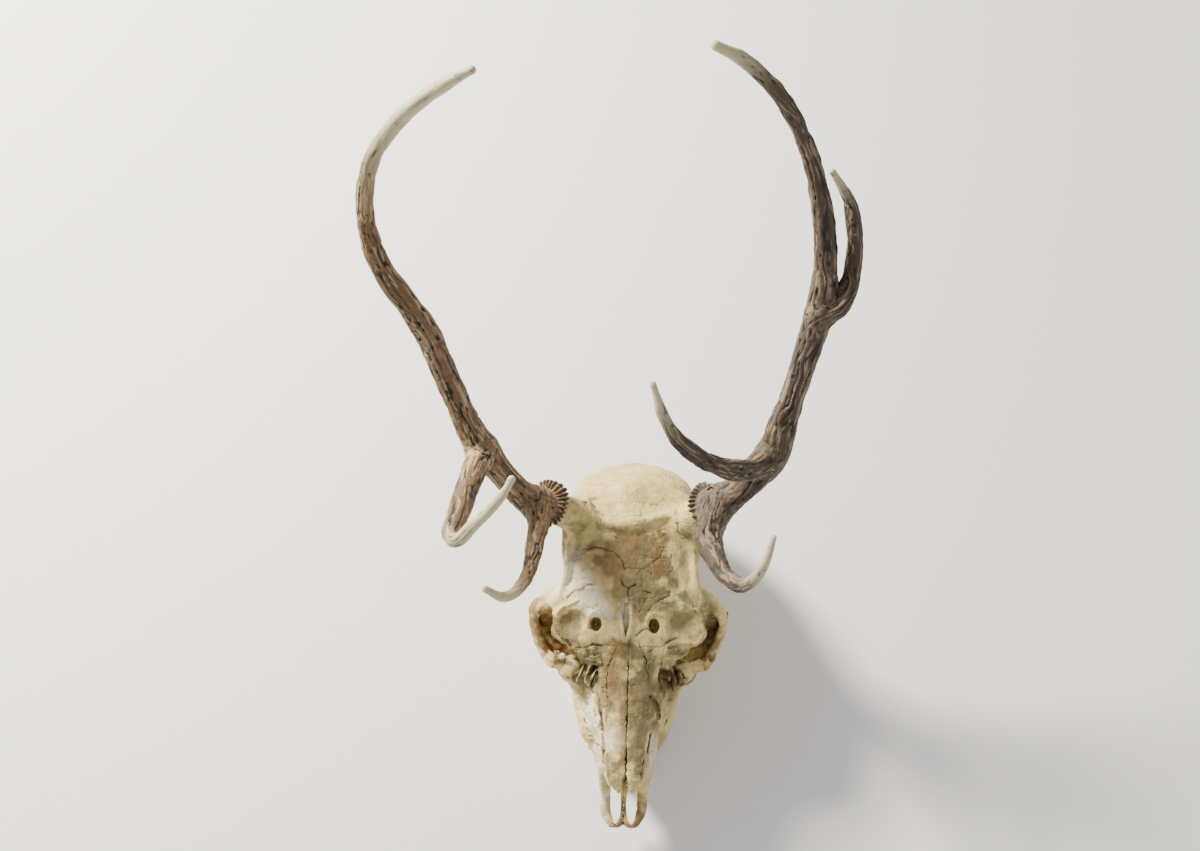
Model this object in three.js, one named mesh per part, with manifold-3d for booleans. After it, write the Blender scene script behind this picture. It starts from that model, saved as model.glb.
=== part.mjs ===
// Cranium of a young red deer stag with both antlers, without its lower jaw, at life size.
// Millimetres, +Z up. The skull lies upper side up on its rear cheek teeth and the two
// paroccipital processes; its nose points to -Y and +X is the animal's left.
// Everything is laid out in a skull frame, with Z = 0 on the floor and X = 0 on the midline,
// and the finished group is moved so that its origin is the middle of its box, on the floor.
import * as THREE from "three";
import { ParametricGeometry } from "three/addons/geometries/ParametricGeometry.js";
import { mergeVertices } from "three/addons/utils/BufferGeometryUtils.js";
import Module from "manifold-3d";

const wasm = await Module();
wasm.setup();

// Driving sizes.
const GAP = 0.3; // left at every suture and at each fork of an antler
const SNOUT_Y = 49; // foremost point of the premaxillae
const NASAL_TIP = { y: 70, z: 88 }; // front end of the nasal bones
const NASION = { y: 188, z: 130 }; // where the nasals meet the forehead
const CROWN_SLOPE = 0.114; // how fast the chewing surface climbs towards the nose
const LAST_MOLAR_Y = 188; // rear of the tooth row, which touches the floor
const FLAT_CROWN = 8; // length of the worn flat at the rear that the skull stands on
const ORBIT = { x: 65.5, y: 199, z: 97, r: 25 }; // eye socket, its centre and radius
const ORBIT_RIM = 4.6; // half thickness of the ring of bone round it
const ORBIT_FACING = new THREE.Vector3(0.9, -0.36, 0.22).normalize();
const PEDICLE_RADIUS = 14.5;
const BURR_RADIUS = 18.5;
const BURR_BEADS = 12;
const REAR_LEAN = 3.5; // how far the back of the braincase leans to the animal's left
const LEAN_FROM_Y = 265;
const LEAN_TO_Y = 350;
const FAR = 400; // half size of the blocks that cut and part the bones

// Surface finishes.
const bone = new THREE.MeshStandardMaterial({ color: 0xcdbf98, roughness: 0.75, metalness: 0 });
const bleached = new THREE.MeshStandardMaterial({ color: 0xe0d9c2, roughness: 0.8, metalness: 0 });
const antler = new THREE.MeshStandardMaterial({ color: 0x6b5138, roughness: 0.7, metalness: 0 });
const polished = new THREE.MeshStandardMaterial({ color: 0xb9aa86, roughness: 0.5, metalness: 0 });

// ---------------------------------------------------------------- solids

/** A closed three.js geometry as a solid, with collapsed faces dropped and faces turned out. */
function solid(geometry) {
  const bare = geometry.clone();
  bare.deleteAttribute("normal");
  bare.deleteAttribute("uv");
  const merged = mergeVertices(bare, 1e-4);
  const position = merged.getAttribute("position");
  const index = merged.index.array;
  const faces = [];
  const [a, b, c] = [new THREE.Vector3(), new THREE.Vector3(), new THREE.Vector3()];
  let volume = 0;
  for (let i = 0; i < index.length; i += 3) {
    const [p, q, r] = [index[i], index[i + 1], index[i + 2]];
    if (p === q || q === r || r === p) continue;
    faces.push(p, q, r);
    a.fromBufferAttribute(position, p);
    b.fromBufferAttribute(position, q);
    c.fromBufferAttribute(position, r);
    volume += a.dot(b.cross(c));
  }
  if (volume < 0) faces.reverse();
  const mesh = new wasm.Mesh({
    numProp: 3,
    vertProperties: new Float32Array(position.array),
    triVerts: new Uint32Array(faces),
  });
  return new wasm.Manifold(mesh);
}

/** A named mesh from a solid. */
function piece(name, body, material) {
  const mesh = biggest(body).getMesh();
  const geometry = new THREE.BufferGeometry();
  geometry.setAttribute("position", new THREE.BufferAttribute(mesh.vertProperties, 3));
  geometry.setIndex(new THREE.BufferAttribute(mesh.triVerts, 1));
  geometry.computeVertexNormals();
  const made = new THREE.Mesh(geometry, material);
  made.name = name;
  return made;
}

/** A block between two corners. */
function block(low, high) {
  const size = high.map((value, i) => value - low[i]);
  const geometry = new THREE.BoxGeometry(...size);
  geometry.translate(...high.map((value, i) => (value + low[i]) / 2));
  return solid(geometry);
}

/** An ellipsoid, its radii along X, Y and Z, turned about X and then Z by angles in degrees. */
function ovoid(centre, radii, turnX = 0, turnZ = 0, detail = 5) {
  const geometry = new THREE.SphereGeometry(1, detail + 4, detail);
  geometry.scale(...radii);
  geometry.rotateX(THREE.MathUtils.degToRad(turnX));
  geometry.rotateZ(THREE.MathUtils.degToRad(turnZ));
  geometry.translate(...centre);
  return solid(geometry);
}

/** A side-view outline of [y, z] corners made into a block from x = low to x = high. */
function sideBlock(corners, low, high) {
  const shape = new THREE.Shape(corners.map(([y, z]) => new THREE.Vector2(y, z)));
  const geometry = new THREE.ExtrudeGeometry(shape, { depth: high - low, bevelEnabled: false });
  const toSkull = new THREE.Matrix4().makeBasis(
    new THREE.Vector3(0, 1, 0),
    new THREE.Vector3(0, 0, 1),
    new THREE.Vector3(1, 0, 0),
  );
  geometry.applyMatrix4(toSkull);
  geometry.translate(low, 0, 0);
  return solid(geometry);
}

/** A plan outline of [x, y] corners made into a block from z = low to z = high. */
function planBlock(corners, low, high) {
  const shape = new THREE.Shape(corners.map(([x, y]) => new THREE.Vector2(x, y)));
  const geometry = new THREE.ExtrudeGeometry(shape, { depth: high - low, bevelEnabled: false });
  geometry.translate(0, 0, low);
  return solid(geometry);
}

/** The largest of a solid's separate bodies, without the crumbs that a cut leaves. */
function biggest(body) {
  const bodies = body.decompose();
  return bodies.reduce((most, each) => (each.volume() > most.volume() ? each : most));
}

/** A smooth curve through [x, y, z] points. */
function through(points) {
  return new THREE.CatmullRomCurve3(points.map((p) => new THREE.Vector3(...p)), false, "centripetal");
}

/** A smooth value from [place, value] pairs, place running from 0 to 1. */
function along(pairs) {
  return (t) => {
    const last = pairs.length - 1;
    let i = 0;
    while (i < last - 1 && t > pairs[i + 1][0]) i += 1;
    const [t0, v0] = pairs[i];
    const [t1, v1] = pairs[i + 1];
    const s = THREE.MathUtils.smoothstep(t, t0, t1);
    return THREE.MathUtils.lerp(v0, v1, s);
  };
}

/**
 * A closed body lofted through stations along Y. Each station has its half width, top and
 * bottom, and its corners get squarer as square grows from 0. low is the half width at the
 * bottom, where it differs.
 */
function loft(stations, { sides = 24, steps = 16 } = {}) {
  const upper = through(stations.map((s) => [s.half, s.y, s.top]));
  const lower = through(stations.map((s) => [s.low ?? s.half, s.y, s.bottom]));
  const corner = through(stations.map((s, i) => [s.square ?? 0, i, 0]));
  const place = (u, v, target) => {
    const row = Math.round(v * (steps + 2));
    const t = THREE.MathUtils.clamp((row - 1) / steps, 0, 1);
    const top = upper.getPoint(t);
    const bottom = lower.getPoint(t);
    const power = 1 / (1 + corner.getPoint(t).x);
    const angle = u * 2 * Math.PI;
    const bend = (value) => (Math.abs(value) < 1e-6 ? 0 : Math.sign(value) * Math.abs(value) ** power);
    const inside = row === 0 || row === steps + 2 ? 0 : 1;
    const x = bend(Math.cos(angle)) * inside;
    const z = bend(Math.sin(angle)) * inside;
    const rise = (z + 1) / 2;
    const half = THREE.MathUtils.lerp(bottom.x, top.x, rise);
    const lean = REAR_LEAN * THREE.MathUtils.smoothstep(top.y, LEAN_FROM_Y, LEAN_TO_Y);
    target.set(x * half + lean, top.y, THREE.MathUtils.lerp(bottom.z, top.z, rise));
  };
  return solid(new ParametricGeometry(place, sides, steps + 2));
}

/**
 * A closed rod along a smooth route. radius(t, angle) is in millimetres, t running from 0 at
 * the root to 1 at the tip, flat squeezes it across up, and the tip is rounded off over the
 * last stretch round.
 */
function rod(points, radius, options = {}) {
  const { sides = 12, steps = 18, up = null, flat = 1, round = 0.035, grow = 0 } = options;
  const route = through(points);
  const frames = route.computeFrenetFrames(steps);
  const place = (u, v, target) => {
    const row = Math.round(v * (steps + 2));
    const i = THREE.MathUtils.clamp(row - 1, 0, steps);
    const t = i / steps;
    const inside = row === 0 || row === steps + 2 ? 0 : 1;
    const angle = u * 2 * Math.PI;
    let across = frames.normals[i];
    let second = frames.binormals[i];
    if (up) {
      across = new THREE.Vector3().crossVectors(up, frames.tangents[i]).normalize();
      second = new THREE.Vector3().crossVectors(frames.tangents[i], across);
    }
    const left = Math.max(0, (t - (1 - round)) / round);
    const tip = Math.sqrt(Math.max(0.2, 1 - left * left));
    const r = (radius(t, angle) * tip + grow) * inside;
    target.copy(route.getPointAt(t));
    target.addScaledVector(across, Math.cos(angle) * r * flat);
    target.addScaledVector(second, Math.sin(angle) * r);
  };
  return solid(new ParametricGeometry(place, sides, steps + 2));
}

const mirrored = ([x, y, z]) => [-x, y, z];
const join = (bodies) => bodies.reduce((whole, body) => whole.add(body));
const bothSides = (make) => make(1).add(make(-1));

/** Z of the upper face profile over the nose at a given Y. */
function noseTop(y) {
  const share = (y - NASAL_TIP.y) / (NASION.y - NASAL_TIP.y);
  return THREE.MathUtils.lerp(NASAL_TIP.z, NASION.z, share);
}

/** Z of the chewing surface at a given Y. */
const crownLevel = (y) => Math.max(0, (LAST_MOLAR_Y - FLAT_CROWN - y) * CROWN_SLOPE);

// ---------------------------------------------------------------- the bones

/** Rounded braincase and the narrow core between the orbits. */
function vault() {
  return loft(
    [
      { y: 168, half: 30, top: 112, bottom: 66, square: 0.2 },
      { y: 190, half: 31, top: 122, bottom: 66, square: 0.2 },
      { y: 210, half: 30, top: 132, bottom: 66, square: 0.1 },
      { y: 232, half: 36, top: 143, bottom: 60 },
      { y: 256, half: 45, top: 150, bottom: 51 },
      { y: 282, half: 50, top: 155, bottom: 43 },
      { y: 308, half: 50.5, top: 152, bottom: 37 },
      { y: 330, half: 48, top: 138, bottom: 33 },
      { y: 346, half: 42, top: 118, bottom: 35 },
      { y: 356, half: 33, top: 99, bottom: 42 },
      { y: 361, half: 15, top: 82, bottom: 52 },
    ],
    { sides: 16, steps: 10 },
  );
}

/** Forehead: a broad arched plate from the nasals to the pedicles, wide over the orbits. */
function forehead() {
  return loft(
    [
      { y: 172, half: 34, top: 122, bottom: 100, square: 0.5 },
      { y: 182, half: 48, top: 128, bottom: 104, square: 0.4 },
      { y: 194, half: 63, top: 133, bottom: 106, square: 0.3 },
      { y: 208, half: 69, top: 138, bottom: 105, square: 0.2 },
      { y: 220, half: 64, top: 142, bottom: 105, square: 0.2 },
      { y: 234, half: 54, top: 146, bottom: 108, square: 0.2 },
      { y: 250, half: 55, top: 150, bottom: 110, square: 0.2 },
      { y: 268, half: 58, top: 154, bottom: 112, square: 0.1 },
      { y: 285, half: 54, top: 157, bottom: 116 },
      { y: 300, half: 46, top: 154, bottom: 120 },
    ],
    { sides: 14, steps: 8 },
  );
}

/** Nose and upper jaw in front of the orbits. */
function face() {
  return loft(
    [
      { y: 64, half: 9, low: 16, top: noseTop(64) - 16, bottom: 34, square: 0.3 },
      { y: 80, half: 12, low: 18.5, top: noseTop(80) - 3, bottom: 32, square: 0.5 },
      { y: 93, half: 14, low: 21.5, top: noseTop(93), bottom: 29, square: 0.6 },
      { y: 105, half: 16, low: 26, top: noseTop(105), bottom: 25, square: 0.7 },
      { y: 117, half: 18, low: 33, top: noseTop(117), bottom: 21, square: 0.8 },
      { y: 132, half: 22, low: 39.5, top: noseTop(132), bottom: 18, square: 0.8 },
      { y: 150, half: 29, low: 43.5, top: noseTop(150), bottom: 15, square: 0.7 },
      { y: 168, half: 39, low: 46, top: noseTop(168), bottom: 13, square: 0.6 },
      { y: 182, half: 50, low: 47, top: noseTop(182) - 3, bottom: 13, square: 0.5 },
      { y: 193, half: 40, low: 40, top: 119, bottom: 24, square: 0.3 },
    ],
    { sides: 16, steps: 10 },
  );
}

/** Bone in front of the orbit and the cheekbone under it, filling out to the rim. */
function orbitFoot(side) {
  const front = ovoid([side * 49, 172, 86], [13, 12, 25], 0, side * 20);
  const under = ovoid([side * 59, 191, 70], [11, 22, 8.5], 0, side * 16);
  return front.add(under);
}

/** Bony ring round an eye socket, side 1 for the animal's left. */
function orbitRim(side) {
  const ring = new THREE.TorusGeometry(ORBIT.r, ORBIT_RIM, 5, 16);
  const facing = ORBIT_FACING.clone();
  facing.x *= side;
  ring.applyQuaternion(
    new THREE.Quaternion().setFromUnitVectors(new THREE.Vector3(0, 0, 1), facing),
  );
  ring.translate(side * (ORBIT.x + 3), ORBIT.y, ORBIT.z);
  return solid(ring);
}

/** Hollow of an eye socket. */
function orbitHollow(side) {
  return ovoid([side * (ORBIT.x - 4), ORBIT.y - 1, ORBIT.z - 1], [31, 24.5, 23.5], 0, side * -21);
}

/** Cheekbone below the orbit and the arch that runs back to the braincase. */
function cheekArch(side) {
  const route = [
    [36, 150, 60],
    [53, 172, 68],
    [66, 194, 70],
    [64, 218, 69],
    [57, 248, 68],
    [48, 284, 64],
  ];
  const placed = side > 0 ? route : route.map(mirrored);
  const depth = along([[0, 14], [0.3, 11], [0.6, 7], [1, 10]]);
  return rod(placed, depth, { up: new THREE.Vector3(0, 0, 1), flat: 0.55, steps: 6, sides: 7 });
}

/** Short bony stump that carries an antler. */
function pedicle(side, burr) {
  const root = [side * 35, 284, 128];
  const width = along([[0, 1.35 * PEDICLE_RADIUS], [0.7, PEDICLE_RADIUS], [1, PEDICLE_RADIUS]]);
  return rod([root, [side * 51, 288, 152], burr], width, {
    steps: 3,
    sides: 10,
    round: 0.01,
  });
}

/** Paroccipital process: the blade behind the ear that stands on the floor. */
function earProcess(side) {
  const route = [[34, 334, 66], [35, 340, 40], [33, 343, 16], [31, 344, -6]];
  const placed = side > 0 ? route : route.map(mirrored);
  const width = along([[0, 13], [0.5, 9], [1, 5.5]]);
  return rod(placed, width, { up: new THREE.Vector3(1, 0, 0), flat: 0.6, steps: 4, sides: 6 });
}

/** Ear capsule with its short outward canal. */
function earCapsule(side) {
  const canal = rod([[side * 26, 318, 40], [side * 40, 322, 50], [side * 50, 322, 56]], () => 6, {
    steps: 2,
    sides: 6,
  });
  return ovoid([side * 22, 316, 30], [9, 13, 11]).add(canal);
}

/** Thin pair of plates that carries the rear of the palate back to the skull base. */
function palateWing(side) {
  const route = [[side * 20, 176, 40], [side * 15, 200, 44], [side * 14, 228, 50], [side * 12, 252, 54]];
  const depth = along([[0, 15], [0.5, 15], [1, 6]]);
  return rod(route, depth, { up: new THREE.Vector3(0, 0, 1), flat: 0.2, steps: 5, sides: 6 });
}

/** Skull base from behind the palate to the condyles, with the condyles themselves. */
function skullBase() {
  const bar = rod([[0, 196, 66], [0, 250, 52], [0, 310, 38], [0, 356, 34]], () => 13, {
    up: new THREE.Vector3(0, 0, 1),
    steps: 5,
    sides: 8,
  });
  const condyle = (side) => ovoid([side * 14, 360, 38], [10.5, 13, 15], -20, side * -18);
  return bar.add(bothSides(condyle));
}

/** Outer bar, rising arm and central bar of one premaxilla, round its palatal window. */
function premaxilla(side) {
  const outer = rod(
    [[9, 53, 36], [16, 60, 37], [17, 76, 42], [18, 94, 54], [19, 112, 70]].map((p) =>
      side > 0 ? p : mirrored(p),
    ),
    along([[0, 5], [0.4, 4.2], [1, 7]]),
    { up: new THREE.Vector3(0, 0, 1), flat: 0.62, steps: 6, sides: 6 },
  );
  const toe = ovoid([side * 7.2, SNOUT_Y + 6, 36], [7, 6, 4.5]);
  const inner = rod([[side * 2.4, 54, 36], [side * 2.4, 76, 37], [side * 2.4, 100, 38]], () => 3, {
    steps: 2,
    sides: 5,
  });
  return join([outer, toe, inner]);
}

// ---------------------------------------------------------------- the teeth

// The six cheek teeth from the rear molar to the first premolar, each with its length, width
// and number of lobes.
const TEETH = [
  { length: 17.5, width: 15, lobes: 2 },
  { length: 17.5, width: 15.5, lobes: 2 },
  { length: 15.5, width: 14.5, lobes: 2 },
  { length: 12.5, width: 12.5, lobes: 1 },
  { length: 12.5, width: 11, lobes: 1 },
  { length: 11, width: 9, lobes: 1 },
];
const LOBE_POINTS = 2; // corners on each side of a lobe
const TOOTH_TOP = 30; // the roots end inside the jaw at this level

/** X of the middle of the tooth row at a given Y. */
const toothRow = (y) => 40 - 20 * Math.max(0, (LAST_MOLAR_Y - 2 - y) / 84) ** 2.2;

/** The six cheek teeth of one side, a scalloped row worn to one slightly climbing surface. */
function cheekTeeth(side) {
  const outer = [];
  const inner = [];
  let rear = LAST_MOLAR_Y + 2;
  for (const tooth of TEETH) {
    const pitch = tooth.length / tooth.lobes;
    for (let lobe = 0; lobe < tooth.lobes; lobe += 1) {
      for (let i = 0; i < LOBE_POINTS; i += 1) {
        const share = (i + 0.5) / LOBE_POINTS;
        const y = rear - (lobe + share) * pitch;
        const half = (tooth.width / 2) * (0.72 + 0.28 * Math.sin(Math.PI * share));
        outer.push([side * (toothRow(y) + half), y]);
        inner.push([side * (toothRow(y) - half), y]);
      }
    }
    rear -= tooth.length;
  }
  const row = planBlock([...outer, ...inner.reverse()], -2, TOOTH_TOP);
  const front = rear - 10;
  const flatEnd = LAST_MOLAR_Y - FLAT_CROWN;
  const worn = [[front, -10], [flatEnd, -10], [flatEnd, 0], [front, crownLevel(front)]];
  return row.subtract(sideBlock(worn, -FAR, FAR));
}

// ---------------------------------------------------------------- the openings

/** Everything that is hollow or open in the skull, as one tool to cut with. */
function openings() {
  const palate = ovoid([0, 132, 12], [21, 62, 24]);
  const choanae = ovoid([0, 196, 44], [11.5, 30, 15]);
  const noseHole = ovoid([0, 76, 62], [11, 42, 17], 20);
  const foramenMagnum = ovoid([0, 368, 60], [12, 22, 11], -20);
  const window = (side) => ovoid([side * 6.6, 69, 38], [4.3, 17, 17]);
  const vacuity = (side) => ovoid([side * 34.5, 163, 106], [8.5, 9.5, 15], 0, side * -20);
  const browHole = (side) => ovoid([side * 24.5, 200, 133], [4.6, 5.2, 9]);
  const temple = (side) => ovoid([side * 64, 258, 84], [19, 44, 42], 0, side * 8);
  const cheekHole = (side) => ovoid([side * 37, 118, 52], [5, 6, 4], 0, 0, 4);
  const paired = [window, vacuity, browHole, orbitHollow, cheekHole].map(bothSides);
  const hollows = join([palate, choanae, noseHole, foramenMagnum, ...paired]);
  return { hollows, temples: bothSides(temple) };
}

// ---------------------------------------------------------------- the antlers

const LEFT_BURR = [59.5, 290, 169];
const RIGHT_BURR = [-66.5, 288.5, 169];

const wobble = (t, angle) => 1 + 0.05 * Math.sin(3 * angle + 9 * t) + 0.03 * Math.sin(23 * t + angle);
const grain = (profile) => (t, angle) => profile(t) * wobble(t, angle);

// The animal's left antler has four points.
const LEFT = {
  burr: LEFT_BURR,
  beam: {
    route: [
      LEFT_BURR,
      [75.5, 296, 181],
      [91.5, 305, 196],
      [107, 318, 214],
      [115.5, 340, 241],
      [124.5, 368, 275],
      [133.5, 400, 313],
      [134.5, 428, 346],
      [127.5, 450, 378],
      [112, 474, 417],
      [90, 490.5, 452],
      [62, 499.5, 480],
      [37, 501, 497],
    ],
    radius: along([
      [0, 13.5],
      [0.1, 12],
      [0.19, 13],
      [0.3, 9.8],
      [0.45, 10.6],
      [0.55, 8.8],
      [0.8, 6.1],
      [0.94, 5.2],
      [1, 4],
    ]),
    cuts: [0.2, 0.47],
  },
  tines: {
    brow_tine: {
      route: [
        [70, 293, 178],
        [61, 263, 186],
        [64.5, 240, 200],
        [71.5, 219.5, 219],
        [81.5, 207.5, 238],
        [90.5, 210, 258],
        [96, 220, 272],
        [100.5, 234, 284],
      ],
      radius: along([[0, 14], [0.2, 11], [0.5, 6.8], [0.8, 4.4], [1, 2.8]]),
    },
    tray_tine: {
      route: [
        [107.5, 321, 214],
        [87.5, 301, 236],
        [68, 293.5, 258],
        [47, 292.5, 281],
        [27.5, 299.5, 303],
        [16, 311, 322],
        [7.5, 328, 340],
      ],
      radius: along([[0, 11], [0.25, 8.8], [0.6, 6.6], [0.85, 4.4], [1, 2.8]]),
    },
    back_tine: {
      route: [
        [133, 396, 312],
        [147, 401, 321],
        [154, 413, 330],
        [156, 435, 345],
        [154, 447, 358],
        [148.5, 461, 372],
        [132, 475, 393],
      ],
      radius: along([[0, 8.5], [0.3, 6.8], [0.7, 5.8], [1, 3]]),
    },
  },
};

// The right antler has three.
const RIGHT = {
  burr: RIGHT_BURR,
  beam: {
    route: [
      RIGHT_BURR,
      [-86.5, 291, 182],
      [-106, 304.5, 203],
      [-127, 324, 230],
      [-142, 347, 261],
      [-161, 380, 298],
      [-174.5, 394.5, 318],
      [-190, 409, 340],
      [-201.5, 433, 372],
      [-195, 457.5, 410],
      [-168.5, 475.5, 444],
      [-133.5, 483, 474],
      [-116.5, 484.5, 486],
    ],
    radius: along([
      [0, 12.5],
      [0.1, 10.5],
      [0.2, 12],
      [0.3, 9.8],
      [0.42, 10],
      [0.57, 8.4],
      [0.65, 6.9],
      [0.8, 6],
      [0.94, 5.3],
      [1, 3.8],
    ]),
    cuts: [0.215],
  },
  tines: {
    brow_tine: {
      route: [
        [-81, 290, 179],
        [-76, 269, 187],
        [-77.5, 250, 198],
        [-78.5, 231, 212],
        [-82, 211.5, 228],
        [-88.5, 196, 244],
        [-97, 189.5, 254],
        [-111, 192.5, 268],
      ],
      radius: along([[0, 11.5], [0.3, 7.4], [0.6, 5.6], [0.85, 4.2], [1, 3]]),
    },
    tray_tine: {
      route: [
        [-121, 318, 220],
        [-127, 290, 236],
        [-132, 252, 262],
        [-135, 226, 282],
        [-128, 219.5, 295],
        [-118.5, 225.5, 305],
        [-105, 234.5, 320],
        [-94.5, 243, 332],
        [-87.5, 252.5, 342],
      ],
      radius: along([[0, 11], [0.25, 9.4], [0.5, 8.2], [0.6, 5], [0.85, 4.2], [1, 3]]),
    },
  },
};

/** Beaded ring of bone at the foot of an antler, square to its first stretch. */
function burrRing(growth, grow = 0) {
  const [foot, next] = growth.beam.route.map((p) => new THREE.Vector3(...p));
  const out = next.clone().sub(foot).normalize();
  const ends = [foot.clone().addScaledVector(out, -4.5), foot, foot.clone().addScaledVector(out, 5)];
  const bead = (t, angle) => BURR_RADIUS + 1.3 * Math.cos(BURR_BEADS * angle) - 7 * (2 * t - 1) ** 2;
  const [low, , high] = ends;
  low.addScaledVector(out, -grow);
  high.addScaledVector(out, grow);
  return rod(ends.map((p) => p.toArray()), bead, { sides: 2 * BURR_BEADS, steps: 3, round: 0.01, grow });
}

/** Burr and beam of an antler in one body, its skin moved out by grow. */
function antlerShaft(growth, grow = 0) {
  const { route, radius } = growth.beam;
  return rod(route, grain(radius), { sides: 8, steps: 24, grow }).add(burrRing(growth, grow));
}

/** One tine in full, its root still inside the beam, its skin moved out by grow. */
function tineBody(tine, grow = 0) {
  return rod(tine.route, grain(tine.radius), { sides: 6, steps: 10, grow });
}

/** Room that an antler needs clear of the skull. */
function antlerRoom(growth) {
  const tines = Object.values(growth.tines).map((tine) => tineBody(tine, GAP));
  return join([antlerShaft(growth, GAP), ...tines]);
}

/** Everything on the far side of a plane across the beam at place t, from a gap in. */
function beyond(route, t, sign) {
  const at = route.getPointAt(t);
  const out = route.getTangentAt(t);
  const half = new THREE.BoxGeometry(2 * FAR, 2 * FAR, 2 * FAR);
  half.translate(0, 0, sign * (FAR + GAP / 2));
  half.applyQuaternion(new THREE.Quaternion().setFromUnitVectors(new THREE.Vector3(0, 0, 1), out));
  half.translate(at.x, at.y, at.z);
  return solid(half);
}

/** The lengths of one antler: its base, the lengths above each fork, and its tines. */
function antlerPieces(growth, label) {
  const { beam, tines } = growth;
  const route = through(beam.route);
  const swollen = antlerShaft(growth, GAP);
  const lengths = [];
  let rest = antlerShaft(growth);
  for (const t of beam.cuts) {
    lengths.push(rest.intersect(beyond(route, t, -1)));
    rest = rest.intersect(beyond(route, t, 1));
  }
  lengths.push(rest);
  const names = beam.cuts.length === 2 ? ["base", "middle", "top"] : ["base", "upper"];
  const made = lengths.map((body, i) => piece(`antler_${names[i]}_${label}`, body, antler));
  for (const [name, tine] of Object.entries(tines)) {
    made.push(piece(`${name}_${label}`, tineBody(tine).subtract(swollen), polished));
  }
  return made;
}

// ---------------------------------------------------------------- parting the skull

const LEFT_HALF = block([GAP / 2, -FAR, -FAR], [FAR, FAR, FAR]);
const RIGHT_HALF = block([-FAR, -FAR, -FAR], [-GAP / 2, FAR, FAR]);

/** Strip along the top of the nose that the nasal bones fill, widened by grow. */
function nasalStrip(grow) {
  const station = (y, half) => ({
    y,
    half: half + grow,
    top: noseTop(y) + 24,
    bottom: noseTop(y) - 7 - grow,
    square: 6,
  });
  return loft(
    [
      station(56, 10),
      station(72, 11),
      station(100, 14.5),
      station(140, 17),
      station(172, 15),
      station(187 + grow, 9),
    ],
    { sides: 12, steps: 5 },
  );
}

// Side-view outlines of the other bones, [y, z] corners, and the cheekbone's plan outline.
const PREMAXILLA_OUTLINE = [[30, 10], [86, 10], [92, 40], [113, 76], [100, 110], [30, 110]];
const FRONTAL_OUTLINE = [
  [190, 200],
  [184, 124],
  [176, 112],
  [214, 108],
  [244, 114],
  [272, 126],
  [296, 130],
  [304, 200],
];
const CHEEK_OUTLINE = [[44, 170], [45, 238], [53, 258], [53, 300], [120, 300], [120, 170]];
const CHEEK_LEVELS = [44, 130];
const FACE_REAR_Y = 191; // the upper jaws end here

/** Grows an outline outwards from its middle by about a gap. */
function swell(corners, by = GAP) {
  const middle = [0, 1].map((axis) => corners.reduce((sum, c) => sum + c[axis], 0) / corners.length);
  return corners.map((corner) => corner.map((value, axis) => value + Math.sign(value - middle[axis]) * by));
}

function skullPieces() {
  const { hollows, temples } = openings();
  const solidSkull = join([
    vault().subtract(temples),
    forehead(),
    face(),
    skullBase(),
    bothSides(earCapsule),
    bothSides(earProcess),
    bothSides(palateWing),
    bothSides(cheekTeeth),
    bothSides(premaxilla),
    bothSides(orbitRim),
    bothSides(orbitFoot),
    pedicle(1, LEFT_BURR),
    pedicle(-1, RIGHT_BURR),
    bothSides(cheekArch),
  ]);
  const floor = block([-FAR, -FAR, -FAR], [FAR, FAR, 0]);
  const skull = solidSkull
    .subtract(hollows)
    .subtract(floor)
    .subtract(antlerRoom(LEFT))
    .subtract(antlerRoom(RIGHT));
  const made = [];

  const nasals = skull.intersect(nasalStrip(0));
  made.push(piece("nasal_bone_left", nasals.intersect(LEFT_HALF), bone));
  made.push(piece("nasal_bone_right", nasals.intersect(RIGHT_HALF), bone));
  let rest = skull.subtract(nasalStrip(GAP));

  const snout = rest.intersect(sideBlock(PREMAXILLA_OUTLINE, -FAR, FAR));
  made.push(piece("premaxilla_left", snout.intersect(LEFT_HALF), bleached));
  made.push(piece("premaxilla_right", snout.intersect(RIGHT_HALF), bleached));
  rest = rest.subtract(sideBlock(swell(PREMAXILLA_OUTLINE), -FAR, FAR));

  made.push(piece("frontal_bone", rest.intersect(sideBlock(FRONTAL_OUTLINE, -FAR, FAR)), bone));
  rest = rest.subtract(sideBlock(swell(FRONTAL_OUTLINE), -FAR, FAR));

  for (const [label, side] of [["left", 1], ["right", -1]]) {
    const outline = CHEEK_OUTLINE.map(([x, y]) => [side * x, y]);
    const region = planBlock(outline, ...CHEEK_LEVELS);
    const room = planBlock(swell(outline), CHEEK_LEVELS[0] - GAP, CHEEK_LEVELS[1] + GAP);
    made.push(piece(`cheekbone_${label}`, rest.intersect(region), bone));
    rest = rest.subtract(room);
  }

  const upperJaw = rest.intersect(block([-FAR, -FAR, -FAR], [FAR, FACE_REAR_Y, FAR]));
  made.push(piece("upper_jaw_left", upperJaw.intersect(LEFT_HALF), bleached));
  made.push(piece("upper_jaw_right", upperJaw.intersect(RIGHT_HALF), bleached));
  const rear = rest.intersect(block([-FAR, FACE_REAR_Y + GAP, -FAR], [FAR, FAR, FAR]));
  made.push(piece("braincase", rear, bone));
  return made;
}

// ---------------------------------------------------------------- the whole

const skull = new THREE.Group();
skull.add(...skullPieces());
skull.add(...antlerPieces(LEFT, "left"));
skull.add(...antlerPieces(RIGHT, "right"));

const deerSkull = new THREE.Group();
deerSkull.add(skull);
const box = new THREE.Box3().setFromObject(deerSkull);
const middle = box.getCenter(new THREE.Vector3());
skull.position.set(-middle.x, -middle.y, -box.min.z);

export default deerSkull;
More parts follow.
